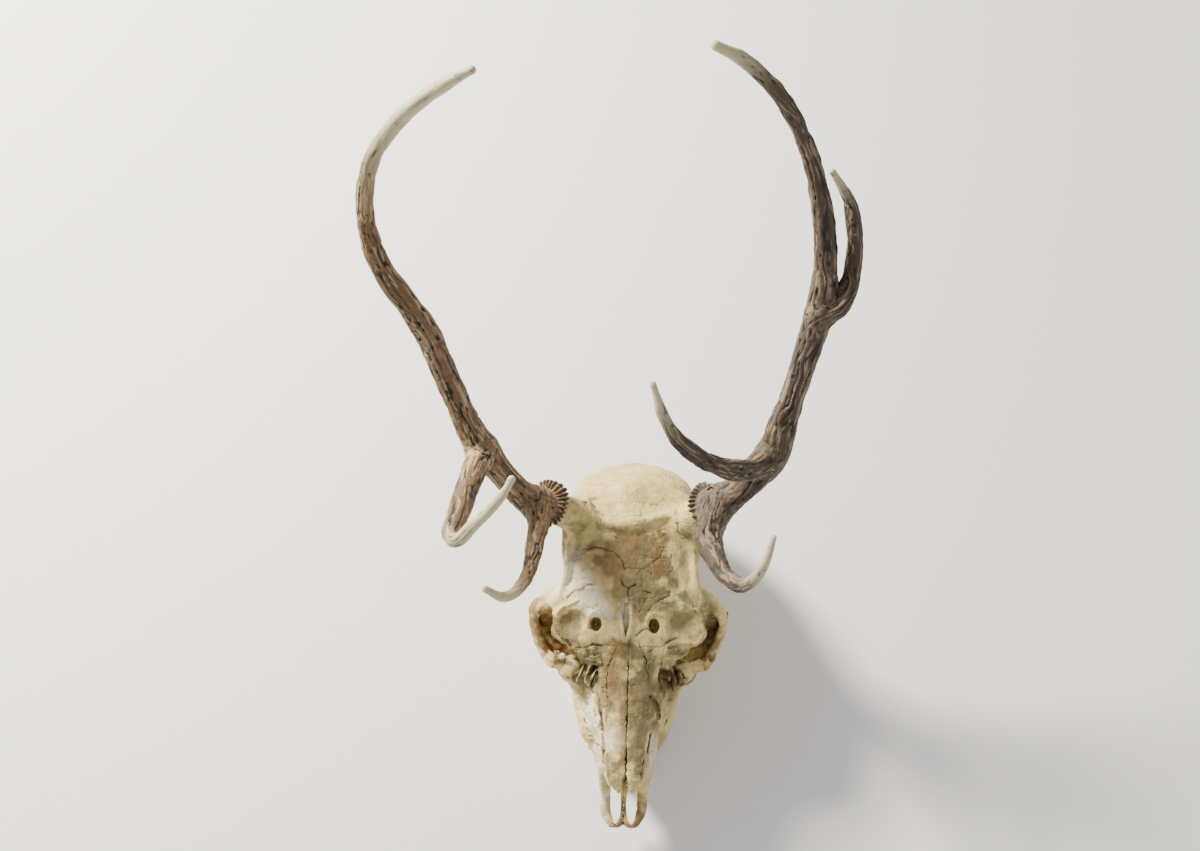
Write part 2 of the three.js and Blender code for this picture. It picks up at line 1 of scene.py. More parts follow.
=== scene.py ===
"""Cranium of a red deer stag with both antlers, lying on a pale floor.

The skull is worked out as one solid shape in a fine grid of signed distances, in millimetres in
the skull's own frame: X to the animal's left, Y towards the back of the head and Z up from the
floor. Each bone is then taken out of that grid as a closed mesh of its own. The antlers are made
the same way, each length and tine apart, and get their furrows and beads afterwards.
"""

import logging
import math
from dataclasses import dataclass, field
from enum import Enum
from functools import reduce

import bpy
import numpy as np
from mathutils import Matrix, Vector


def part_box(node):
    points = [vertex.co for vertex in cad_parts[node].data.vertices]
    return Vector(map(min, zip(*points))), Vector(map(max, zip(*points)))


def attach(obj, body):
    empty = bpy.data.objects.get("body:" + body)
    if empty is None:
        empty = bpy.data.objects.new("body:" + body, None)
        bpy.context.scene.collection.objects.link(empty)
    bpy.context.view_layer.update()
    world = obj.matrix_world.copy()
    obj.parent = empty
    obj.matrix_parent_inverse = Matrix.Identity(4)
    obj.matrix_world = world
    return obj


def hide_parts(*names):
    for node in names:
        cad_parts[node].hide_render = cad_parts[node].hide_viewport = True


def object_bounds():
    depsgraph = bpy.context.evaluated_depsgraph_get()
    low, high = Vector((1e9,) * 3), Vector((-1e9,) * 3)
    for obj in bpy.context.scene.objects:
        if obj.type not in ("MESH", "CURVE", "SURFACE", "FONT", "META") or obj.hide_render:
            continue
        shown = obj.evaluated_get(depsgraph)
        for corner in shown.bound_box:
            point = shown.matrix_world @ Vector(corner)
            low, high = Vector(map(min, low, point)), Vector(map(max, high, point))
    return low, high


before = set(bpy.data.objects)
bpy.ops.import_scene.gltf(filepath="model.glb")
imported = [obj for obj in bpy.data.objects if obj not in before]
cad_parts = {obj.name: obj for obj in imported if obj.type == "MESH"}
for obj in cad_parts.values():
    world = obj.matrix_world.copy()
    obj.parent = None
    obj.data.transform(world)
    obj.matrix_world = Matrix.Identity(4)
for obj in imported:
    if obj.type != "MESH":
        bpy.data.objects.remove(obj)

import openvdb
from mathutils import Matrix, Vector

LOG = logging.getLogger("deer_skull")
CAD_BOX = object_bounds()

Array = np.ndarray
Point = tuple[float, float, float]
Flat = tuple[float, float]

# Metres in a millimetre. Sizes are in millimetres, and only the floor and the lights are in metres.
MM = 0.001
BODY = "root"
BONE_PITCH = 0.87
ANTLER_PITCH = 0.76
TOOTH_PITCH = 0.5
JAW_GAP = 0.15
JAW_REAR = 191.0


def skull_offset() -> Array:
    """Finds where the skull's frame lies in the part's frame.

    Returns:
        The skull frame's origin, in millimetres.
    """
    low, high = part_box("upper_jaw_left")
    return np.array([low.x / MM - JAW_GAP, high.y / MM - JAW_REAR, 0.0])


OFFSET = skull_offset()


# ------------------------------------------------------------------ numbers


def smoothstep(value: Array, low: float, high: float) -> Array:
    """Runs from 0 at low to 1 at high with level ends."""
    share = np.clip((value - low) / (high - low), 0.0, 1.0)
    return share * share * (3.0 - 2.0 * share)


def soft_min(one: Array, other: Array, blend: float) -> Array:
    """Takes the smaller of two distances, rounding the place where they cross.

    Args:
        one: The first distances.
        other: The second distances.
        blend: How wide the rounding is, in millimetres.

    Returns:
        The blended distances.
    """
    if blend <= 0.0:
        return np.minimum(one, other)
    share = np.clip(0.5 + 0.5 * (other - one) / blend, 0.0, 1.0)
    return other + (one - other) * share - blend * share * (1.0 - share)


def smooth_line(places: Array, values: Array, at: Array) -> Array:
    """Reads a smooth line through places and values.

    Args:
        places: Rising places.
        values: The value at each place.
        at: Where to read it.

    Returns:
        The values there, level beyond both ends.
    """
    slopes = np.gradient(values, places)
    spot = np.clip(at, places[0], places[-1])
    i = np.clip(np.searchsorted(places, spot) - 1, 0, len(places) - 2)
    width = places[i + 1] - places[i]
    t = (spot - places[i]) / width
    start = values[i] * (1 + 2 * t) * (1 - t) ** 2 + values[i + 1] * t * t * (3 - 2 * t)
    bend = slopes[i] * t * (1 - t) ** 2 - slopes[i + 1] * t * t * (1 - t)
    return start + width * bend


@dataclass(frozen=True)
class Noise:
    """Smooth random values through space, about -1 to 1.

    Attributes:
        seed: Which pattern.
        size: Width of its largest features, in millimetres.
        octaves: How many finer layers are laid on it.
    """

    seed: int
    size: float
    octaves: int = 1

    def at(self, points: Array) -> Array:
        """Reads the pattern at points, one row each.

        Args:
            points: The points, one row each.

        Returns:
            The values.
        """
        total = np.zeros(len(points), np.float32)
        for octave in range(self.octaves):
            total += self._layer(points * (2**octave / self.size), octave) / 2**octave
        return total

    def crests(self, points: Array, sharp: float) -> Array:
        """Reads lines that run where the pattern crosses 0: 1 on them, falling to 0 beside them."""
        return np.clip(1.0 - sharp * np.abs(self.at(points)), 0.0, 1.0)

    def _layer(self, points: Array, octave: int) -> Array:
        """Reads one layer, whose features are one unit wide.

        Args:
            points: The points, one row each.
            octave: Which layer.

        Returns:
            The layer's values.
        """
        random = np.random.default_rng(self.seed * 31 + octave)
        table = random.permutation(256)
        values = random.uniform(-1.3, 1.3, 256).astype(np.float32)
        cell = np.floor(points).astype(np.int64)
        part = (points - cell).astype(np.float32)
        ease = part * part * part * (part * (part * 6 - 15) + 10)
        total = np.zeros(len(points), np.float32)
        for dx in (0, 1):
            share_x = ease[:, 0] if dx else 1 - ease[:, 0]
            row = table[(cell[:, 0] + dx) & 255]
            for dy in (0, 1):
                share_y = share_x * (ease[:, 1] if dy else 1 - ease[:, 1])
                column = table[(row + cell[:, 1] + dy) & 255]
                for dz in (0, 1):
                    share = share_y * (ease[:, 2] if dz else 1 - ease[:, 2])
                    total += share * values[table[(column + cell[:, 2] + dz) & 255]]
        return total


@dataclass(frozen=True)
class Pebbles:
    """Rounded grains packed through space.

    Attributes:
        seed: Which packing.
        size: Spacing of the grains, in millimetres.
    """

    seed: int
    size: float

    def at(self, points: Array) -> Array:
        """Reads the height at points: 1 on a grain's crown, falling to 0 between grains.

        Args:
            points: The points, one row each.

        Returns:
            The values.
        """
        random = np.random.default_rng(self.seed)
        table = random.permutation(256)
        jitter = random.uniform(0.1, 0.9, (256, 3)).astype(np.float32)
        scaled = points / self.size
        cell = np.floor(scaled).astype(np.int64)
        part = (scaled - cell).astype(np.float32)
        nearest = np.full(len(points), 9.0, np.float32)
        for step in np.ndindex(3, 3, 3):
            near = cell + np.array(step) - 1
            key = table[(table[(table[near[:, 0] & 255] + near[:, 1]) & 255] + near[:, 2]) & 255]
            away = jitter[key] + (np.array(step, np.float32) - 1) - part
            nearest = np.minimum(nearest, np.einsum("ij,ij->i", away, away))
        return np.clip(1.0 - 1.6 * nearest, 0.0, 1.0)


# ------------------------------------------------------------------ routes and solids


class Route:
    """A smooth curve through points, walked by its length."""

    def __init__(self, points: list[Point], spacing: float = 2.0) -> None:
        """Lays the curve.

        Args:
            points: The points it runs through.
            spacing: How far apart it is sampled, in millimetres.
        """
        through = np.array(points, float)
        ends = [2 * through[0] - through[1], *through, 2 * through[-1] - through[-2]]
        rows = [self._span(ends[i : i + 4]) for i in range(len(through) - 1)]
        dense = np.concatenate([*rows, through[-1:]])
        steps = np.linalg.norm(np.diff(dense, axis=0), axis=1)
        walked = np.concatenate([[0.0], np.cumsum(steps)])
        self.length = float(walked[-1])
        count = max(3, int(self.length / spacing) + 1)
        self.walked = np.linspace(0.0, self.length, count)
        self.points = np.stack([np.interp(self.walked, walked, dense[:, i]) for i in range(3)], 1)
        along = np.gradient(self.points, axis=0)
        self.tangents = along / np.linalg.norm(along, axis=1)[:, None]

    @staticmethod
    def _span(four: list[Array]) -> Array:
        """Samples the curve between the middle two of four points.

        Args:
            four: Four points in a row.

        Returns:
            The points between the middle two.
        """
        before, start, end, after = four
        d0, d1, d2 = (
            max(np.linalg.norm(b - a) ** 0.5, 1e-4)
            for a, b in ((before, start), (start, end), (end, after))
        )
        out = ((start - before) / d0 - (end - before) / (d0 + d1) + (end - start) / d1) * d1
        into = ((end - start) / d1 - (after - start) / (d1 + d2) + (after - end) / d2) * d1
        t = np.linspace(0, 1, 24, endpoint=False)[:, None]
        cubic = 2 * start - 2 * end + out + into
        square = -3 * start + 3 * end - 2 * out - into
        return start + out * t + square * t**2 + cubic * t**3

    def at(self, share: float) -> Array:
        """Gives the point at a share of the length."""
        place = share * self.length
        return np.array([np.interp(place, self.walked, self.points[:, i]) for i in range(3)])

    def heading(self, share: float) -> Array:
        """Gives the direction of travel at a share of the length."""
        return self.tangents[int(round(share * (len(self.tangents) - 1)))]

    def frames(self) -> tuple[Array, Array]:
        """Carries a pair of crosswise directions along the curve without twisting them.

        Returns:
            The two directions at each sample.
        """
        first = np.cross(self.tangents[0], (0.0, 0.0, 1.0))
        if np.linalg.norm(first) < 0.1:
            first = np.cross(self.tangents[0], (0.0, 1.0, 0.0))
        rows = []
        for tangent in self.tangents:
            first = first - tangent * (first @ tangent)
            first = first / np.linalg.norm(first)
            rows.append(first)
        side = np.array(rows)
        return side, np.cross(self.tangents, side)


@dataclass(frozen=True)
class Profile:
    """A value that changes along a length, level at each of its stops.

    Attributes:
        stops: Place from 0 to 1, and value, of each stop.
    """

    stops: tuple[Flat, ...]

    def at(self, share: Array) -> Array:
        """Reads the value at shares of the length.

        Args:
            share: The shares.

        Returns:
            The values.
        """
        places = np.array([stop[0] for stop in self.stops])
        values = np.array([stop[1] for stop in self.stops])
        i = np.clip(np.searchsorted(places, share, side="right") - 1, 0, len(places) - 2)
        t = np.clip((share - places[i]) / (places[i + 1] - places[i]), 0.0, 1.0)
        return values[i] + (values[i + 1] - values[i]) * t * t * (3 - 2 * t)


@dataclass(frozen=True)
class Ovoid:
    """An egg-shaped solid.

    Attributes:
        centre: Its middle.
        radii: Its half sizes along its own X, Y and Z.
        turn: Its turns about X, Y and Z, in degrees.
    """

    centre: Point
    radii: Point
    turn: Point = (0.0, 0.0, 0.0)

    def _axes(self) -> Array:
        """Gives its own axes as rows.

        Returns:
            The axes.
        """
        x, y, z = (math.radians(angle) for angle in self.turn)
        turned = Matrix.Rotation(z, 3, "Z") @ Matrix.Rotation(y, 3, "Y") @ Matrix.Rotation(x, 3, "X")
        return np.array(turned).T

    def reach(self) -> tuple[Array, Array]:
        """Gives the corners of the box that holds it."""
        half = np.sqrt(((self._axes() * np.array(self.radii)[:, None]) ** 2).sum(0))
        return np.array(self.centre) - half, np.array(self.centre) + half

    def distance(self, x: Array, y: Array, z: Array) -> Array:
        """Gives the signed distance to its skin at crossed coordinates.

        Args:
            x: Coordinates along X.
            y: Coordinates along Y.
            z: Coordinates along Z.

        Returns:
            The distances, negative inside.
        """
        axes = self._axes().astype(np.float32)
        dx, dy, dz = x - self.centre[0], y - self.centre[1], z - self.centre[2]
        inner, outer = 0.0, 0.0
        for row, radius in zip(axes, self.radii):
            own = row[0] * dx + row[1] * dy + row[2] * dz
            inner = inner + (own / radius) ** 2
            outer = outer + (own / radius**2) ** 2
        inner = np.sqrt(inner)
        return inner * (inner - 1.0) / np.maximum(np.sqrt(outer), 1e-4)


@dataclass(frozen=True)
class Rod:
    """A rod along a smooth route, round or flattened.

    Attributes:
        points: The points its route runs through.
        radii: Its radius along the route.
        thin: The direction across which it is flattened.
        flat: Its thickness that way as a share of its width.
        spacing: Length of its straight stretches.
    """

    points: tuple[Point, ...]
    radii: tuple[Flat, ...]
    thin: Point = (1.0, 0.0, 0.0)
    flat: float = 1.0
    spacing: float = 4.0

    def reach(self) -> tuple[Array, Array]:
        """Gives the corners of the box that holds it.

        Returns:
            Its lowest and highest corners.
        """
        widest = max(radius for _, radius in self.radii)
        route = Route(list(self.points), self.spacing).points
        return route.min(0) - widest, route.max(0) + widest

    def distance(self, x: Array, y: Array, z: Array) -> Array:
        """Gives the signed distance to its skin at crossed coordinates.

        Args:
            x: Coordinates along X.
            y: Coordinates along Y.
            z: Coordinates along Z.

        Returns:
            The distances, negative inside.
        """
        route = Route(list(self.points), self.spacing)
        spots = route.points.astype(np.float32)
        radii = Profile(self.radii).at(route.walked / route.length).astype(np.float32)
        total = np.full(np.broadcast_shapes(x.shape, y.shape, z.shape), Field.FAR, np.float32)
        thin = np.array(self.thin, np.float32)
        thin /= np.linalg.norm(thin)
        swell = 1.0 / self.flat**2 - 1.0
        for start, end, r0, r1 in zip(spots[:-1], spots[1:], radii[:-1], radii[1:]):
            room = max(r0, r1) + Field.MARGIN
            spans = []
            for axis, a, b in zip((x, y, z), start, end):
                line = axis.ravel()
                low, high = min(a, b) - room, max(a, b) + room
                spans.append(slice(int(np.searchsorted(line, low)), int(np.searchsorted(line, high))))
            step = end - start
            across = step @ thin
            span2 = step @ step + swell * across**2
            dx = x[spans[0]] - start[0]
            dy = y[:, spans[1]] - start[1]
            dz = z[:, :, spans[2]] - start[2]
            if dx.size == 0 or dy.size == 0 or dz.size == 0:
                continue
            side = thin[0] * dx + thin[1] * dy + thin[2] * dz
            dot = step[0] * dx + step[1] * dy + step[2] * dz + swell * across * side
            t = np.clip(dot / span2, 0.0, 1.0)
            far2 = dx * dx + dy * dy + dz * dz + swell * side * side
            away = np.sqrt(np.maximum(far2 - 2 * t * dot + t * t * span2, 0.0))
            slack = away - (r0 + (r1 - r0) * t)
            if self.flat < 1.0:
                slack = slack * (self.flat + (1 - self.flat) * 0.35)
            window = tuple(spans)
            total[window] = np.minimum(total[window], slack)
        return total


@dataclass(frozen=True)
class Ring:
    """A ring of bone, thicker along its axis than across it.

    Attributes:
        centre: Its middle.
        facing: Its axis.
        radius: Radius of the ring.
        half: Half thickness across the ring's wall and along its axis.
    """

    centre: Point
    facing: Point
    radius: float
    half: Flat

    def reach(self) -> tuple[Array, Array]:
        """Gives the corners of the box that holds it."""
        most = self.radius + max(self.half)
        return np.array(self.centre) - most, np.array(self.centre) + most

    def distance(self, x: Array, y: Array, z: Array) -> Array:
        """Gives the signed distance to its skin at crossed coordinates.

        Args:
            x: Coordinates along X.
            y: Coordinates along Y.
            z: Coordinates along Z.

        Returns:
            The distances, negative inside.
        """
        axis = np.array(self.facing, np.float32)
        axis /= np.linalg.norm(axis)
        dx, dy, dz = x - self.centre[0], y - self.centre[1], z - self.centre[2]
        along = axis[0] * dx + axis[1] * dy + axis[2] * dz
        out = np.sqrt(np.maximum(dx * dx + dy * dy + dz * dz - along**2, 0.0)) - self.radius
        size = np.sqrt((out / self.half[0]) ** 2 + (along / self.half[1]) ** 2)
        return (size - 1.0) * min(self.half)


@dataclass(frozen=True)
class Station:
    """One cross-section of a loft.

    Attributes:
        y: Where it stands.
        half: Half width at its top.
        top: Level of its top.
        bottom: Level of its bottom.
        square: How squared its corners are, from 0.
        low: Half width at its bottom, if that differs.
    """

    y: float
    half: float
    top: float
    bottom: float
    square: float = 0.0
    low: float | None = None


@dataclass(frozen=True)
class Loft:
    """A body drawn through cross-sections along Y.

    Attributes:
        stations: Its cross-sections.
        lean: How far its rear end leans to +X.
    """

    stations: tuple[Station, ...]
    lean: float = 0.0

    @classmethod
    def through(cls, rows: tuple[tuple[float, ...], ...], lean: float = 0.0) -> "Loft":
        """Draws a loft through rows that hold each station's sizes in order."""
        return cls(tuple(Station(*row) for row in rows), lean)

    def reach(self) -> tuple[Array, Array]:
        """Gives the corners of the box that holds it.

        Returns:
            Its lowest and highest corners.
        """
        wide = max(max(s.half, s.low or 0.0) for s in self.stations) + abs(self.lean)
        low = (-wide, self.stations[0].y, min(s.bottom for s in self.stations))
        high = (wide, self.stations[-1].y, max(s.top for s in self.stations))
        return np.array(low), np.array(high)

    def _line(self, values: list[float], y: Array) -> Array:
        """Reads one size at places along Y."""
        places = np.array([s.y for s in self.stations])
        return smooth_line(places, np.array(values, float), y).astype(np.float32)

    def distance(self, x: Array, y: Array, z: Array) -> Array:
        """Gives the signed distance to its skin at crossed coordinates.

        Args:
            x: Coordinates along X.
            y: Coordinates along Y.
            z: Coordinates along Z.

        Returns:
            The distances, negative inside.
        """
        top = self._line([s.top for s in self.stations], y)
        bottom = self._line([s.bottom for s in self.stations], y)
        upper = self._line([s.half for s in self.stations], y)
        lower = self._line([s.half if s.low is None else s.low for s in self.stations], y)
        power = 2.0 * (1.0 + self._line([s.square for s in self.stations], y))
        x = x - self.lean * smoothstep(y, 265.0, 350.0)
        middle, tall = (top + bottom) / 2, (top - bottom) / 2
        rise = np.clip((z - bottom) / (top - bottom), 0.0, 1.0)
        half = lower + (upper - lower) * rise
        across = np.abs(x) / half
        up = np.abs(z - middle) / tall
        size = (across**power + up**power) ** (1.0 / power)
        radius = np.sqrt(x * x + (z - middle) ** 2)
        skin = radius - radius / np.maximum(size, 1e-3)
        ends = np.maximum(y - self.stations[-1].y, self.stations[0].y - y)
        return np.maximum(skin, ends)


Solid = Ovoid | Rod | Ring | Loft


class Field:
    """Signed distances in millimetres on a regular grid, negative inside the solid."""

    FAR = 12.0
    MARGIN = 8.0

    def __init__(self, low: Point, high: Point, pitch: float) -> None:
        """Makes an empty grid.

        Args:
            low: Its lowest corner.
            high: Its highest corner.
            pitch: Spacing of its points.
        """
        self.low = np.array(low, float)
        self.pitch = pitch
        self.axes = [np.arange(a, b + pitch, pitch, dtype=np.float32) for a, b in zip(low, high)]
        self.value = np.full([len(axis) for axis in self.axes], self.FAR, np.float32)

    def window(self, low: Array, high: Array) -> tuple:
        """Finds the part of the grid inside a box.

        Args:
            low: The box's lowest corner.
            high: The box's highest corner.

        Returns:
            The slices of the grid, and its coordinates along X, Y and Z there.
        """
        spans = tuple(
            slice(int(np.searchsorted(axis, a)), int(np.searchsorted(axis, b)))
            for axis, a, b in zip(self.axes, low, high)
        )
        x = self.axes[0][spans[0]][:, None, None]
        y = self.axes[1][spans[1]][None, :, None]
        z = self.axes[2][spans[2]][None, None, :]
        return spans, x, y, z

    def join(self, shape: Solid, blend: float, sign: float = 1.0) -> None:
        """Adds a solid, rounding where it meets the rest.

        Args:
            shape: The solid.
            blend: How wide the rounding is.
            sign: 1 to add the solid, -1 to take it away.
        """
        low, high = shape.reach()
        room = self.MARGIN + blend
        spans, x, y, z = self.window(low - room, high + room)
        self.value[spans] = sign * soft_min(sign * self.value[spans], shape.distance(x, y, z), blend)

    def cut(self, shape: Solid, blend: float) -> None:
        """Takes a solid away, rounding the new edge."""
        self.join(shape, blend, -1.0)

    def drape(self, path: tuple[Flat, ...], lift: float = 0.0) -> tuple[Point, ...]:
        """Lays a path in plan on top of the solid.

        Args:
            path: Its points in X and Y.
            lift: How far above the surface it runs.

        Returns:
            The points with their levels.
        """
        laid = []
        for px, py in path:
            i, j = (int(np.searchsorted(axis, at)) for axis, at in zip(self.axes, (px, py)))
            filled = np.nonzero(self.value[i, j] < 0)[0]
            top = float(self.axes[2][filled[-1]]) if len(filled) else 0.0
            laid.append((px, py, top + self.pitch / 2 + lift))
        return tuple(laid)

    def sample(self, points: Array) -> Array:
        """Reads the distances at points, one row each.

        Args:
            points: The points, one row each.

        Returns:
            The distances.
        """
        spot = (points - self.low) / self.pitch
        limit = np.array(self.value.shape) - 2
        cell = np.clip(np.floor(spot).astype(np.int64), 0, limit)
        part = np.clip(spot - cell, 0.0, 1.0)
        total = np.zeros(len(points))
        for step in np.ndindex(2, 2, 2):
            share = np.prod(np.where(np.array(step), part, 1 - part), axis=1)
            i, j, k = (cell + np.array(step)).T
            total += share * self.value[i, j, k]
        return total

    def shade(self, points: Array, normals: Array, reaches: tuple[float, ...], most: float = 1.0) -> Array:
        """Works out how deep in a hollow points of the surface lie.

        Args:
            points: The points.
            normals: The outward direction at each.
            reaches: How far out to look for other surface.
            most: The most that one look counts.

        Returns:
            0 in the open, up to 1 or a little over in a hollow.
        """
        total = np.zeros(len(points))
        for reach in reaches:
            look = np.clip(1.0 - self.sample(points + normals * reach) / reach, 0.0, most)
            total += look / len(reaches)
        return total

    def skin(self, spans: tuple, value: Array) -> tuple[Array, Array]:
        """Wraps a closed mesh round the negative part of some values.

        Args:
            spans: Slices of the grid that the values lie on.
            value: The values there.

        Returns:
            The mesh's points and its faces of four corners.
        """
        closed = np.pad(value, 1, constant_values=self.FAR)
        grid = openvdb.FloatGrid(self.FAR)
        grid.copyFromArray(np.ascontiguousarray(closed, np.float32))
        points, _, quads = grid.convertToPolygons(isovalue=0.0, adaptivity=0.0)
        start = np.array([axis[span.start] for axis, span in zip(self.axes, spans)])
        return start + (points - 1.0) * self.pitch, quads


# ------------------------------------------------------------------ meshes


def keep_largest(points: Array, quads: Array) -> tuple[Array, Array]:
    """Drops the crumbs that lie loose beside a mesh.

    Args:
        points: The mesh's points.
        quads: Its faces.

    Returns:
        The points and faces of its largest connected body.
    """
    label = np.arange(len(points))
    while True:
        lowest = label[quads].min(1)
        fresh = label.copy()
        for corner in range(4):
            np.minimum.at(fresh, quads[:, corner], lowest)
        fresh = fresh[fresh]
        if np.array_equal(fresh, label):
            break
        label = fresh
    names, counts = np.unique(label, return_counts=True)
    kept = label == names[counts.argmax()]
    order = np.cumsum(kept) - 1
    return points[kept], order[quads[kept[quads[:, 0]]]]


@dataclass
class Piece:
    """One visible piece.

    Attributes:
        name: Its name.
        node: The CAD node it stands for.
        slot: Its material slot.
        points: Its points in the skull's frame.
        quads: Its faces.
        marks: Values painted on its points, by name.
    """

    name: str
    node: str
    slot: str
    points: Array
    quads: Array
    marks: dict[str, Array] = field(default_factory=dict)

    @classmethod
    def taken(cls, name: str, node: str, slot: str, solid: Field, spans: tuple, value: Array) -> "Piece":
        """Wraps a piece round the negative part of some values.

        Args:
            name: Its name.
            node: The CAD node that it stands for.
            slot: Its material slot.
            solid: The grid.
            spans: Slices of the grid that the values lie on.
            value: The values there.

        Returns:
            The piece, its faces looking outwards.
        """
        piece = cls(name, node, slot, *keep_largest(*solid.skin(spans, value)))
        corners = piece.points[piece.quads]
        outwards = np.einsum("ij,ij->", piece.faces(), corners.mean(1) - piece.points.mean(0))
        if outwards < 0:
            piece.quads = piece.quads[:, ::-1]
        return piece

    def faces(self) -> Array:
        """Works out the outward direction of each face, as long as twice its area."""
        corners = self.points[self.quads]
        return np.cross(corners[:, 2] - corners[:, 0], corners[:, 3] - corners[:, 1])

    def normals(self) -> Array:
        """Works out the outward direction at each point.

        Returns:
            The directions.
        """
        face = self.faces()
        total = np.zeros_like(self.points)
        for corner in range(4):
            np.add.at(total, self.quads[:, corner], face)
        return total / np.maximum(np.linalg.norm(total, axis=1), 1e-9)[:, None]

    def place(self, material: bpy.types.Material) -> None:
        """Puts the piece in the scene.

        Args:
            material: Its finish.
        """
        low, high = (np.array(corner) for corner in CAD_BOX)
        inside = np.clip((self.points + OFFSET) * MM, low, high)
        mesh = bpy.data.meshes.new(self.name)
        mesh.vertices.add(len(inside))
        mesh.vertices.foreach_set("co", inside.astype(np.float32).ravel())
        mesh.loops.add(self.quads.size)
        mesh.loops.foreach_set("vertex_index", self.quads.astype(np.int32).ravel())
        mesh.polygons.add(len(self.quads))
        starts = np.arange(0, self.quads.size, 4, dtype=np.int32)
        mesh.polygons.foreach_set("loop_start", starts)
        mesh.polygons.foreach_set("use_smooth", np.ones(len(self.quads), bool))
        mesh.update(calc_edges=True)
        mesh.validate()
        for name, values in self.marks.items():
            mark = mesh.attributes.new(name, "FLOAT", "POINT")
            mark.data.foreach_set("value", np.asarray(values, np.float32))
        mesh.materials.append(material)
        thing = bpy.data.objects.new(self.name, mesh)
        bpy.context.scene.collection.objects.link(thing)
        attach(thing, BODY)
        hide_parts(self.node)
        LOG.info("%s: %d faces", self.name, len(self.quads))


# ------------------------------------------------------------------ skull


class Side(Enum):
    """The two sides of the animal."""

    LEFT = 1
    RIGHT = -1

    @property
    def word(self) -> str:
        """Gives the side's name in lower case."""
        return self.name.lower()

    def flip(self, point: Point) -> Point:
        """Carries a point given for the left side over to this side."""
        return (point[0] * self.value, point[1], point[2])

    def route(self, points: list[Point]) -> tuple[Point, ...]:
        """Carries a route given for the left side over to this side."""
        return tuple(self.flip(point) for point in points)


def nose_top(y: Array) -> Array:
    """Gives the level of the nose's upper profile along Y."""
    return 88.0 + (y - 70.0) * (130.0 - 88.0) / (188.0 - 70.0)


def taper(*radii: float) -> tuple[Flat, ...]:
    """Gives the radii of a rod at even steps along it."""
    return tuple((i / (len(radii) - 1), radius) for i, radius in enumerate(radii))


def even(radius: float) -> tuple[Flat, ...]:
    """Gives the radii of a rod that is as thick all along."""
    return taper(radius, radius)


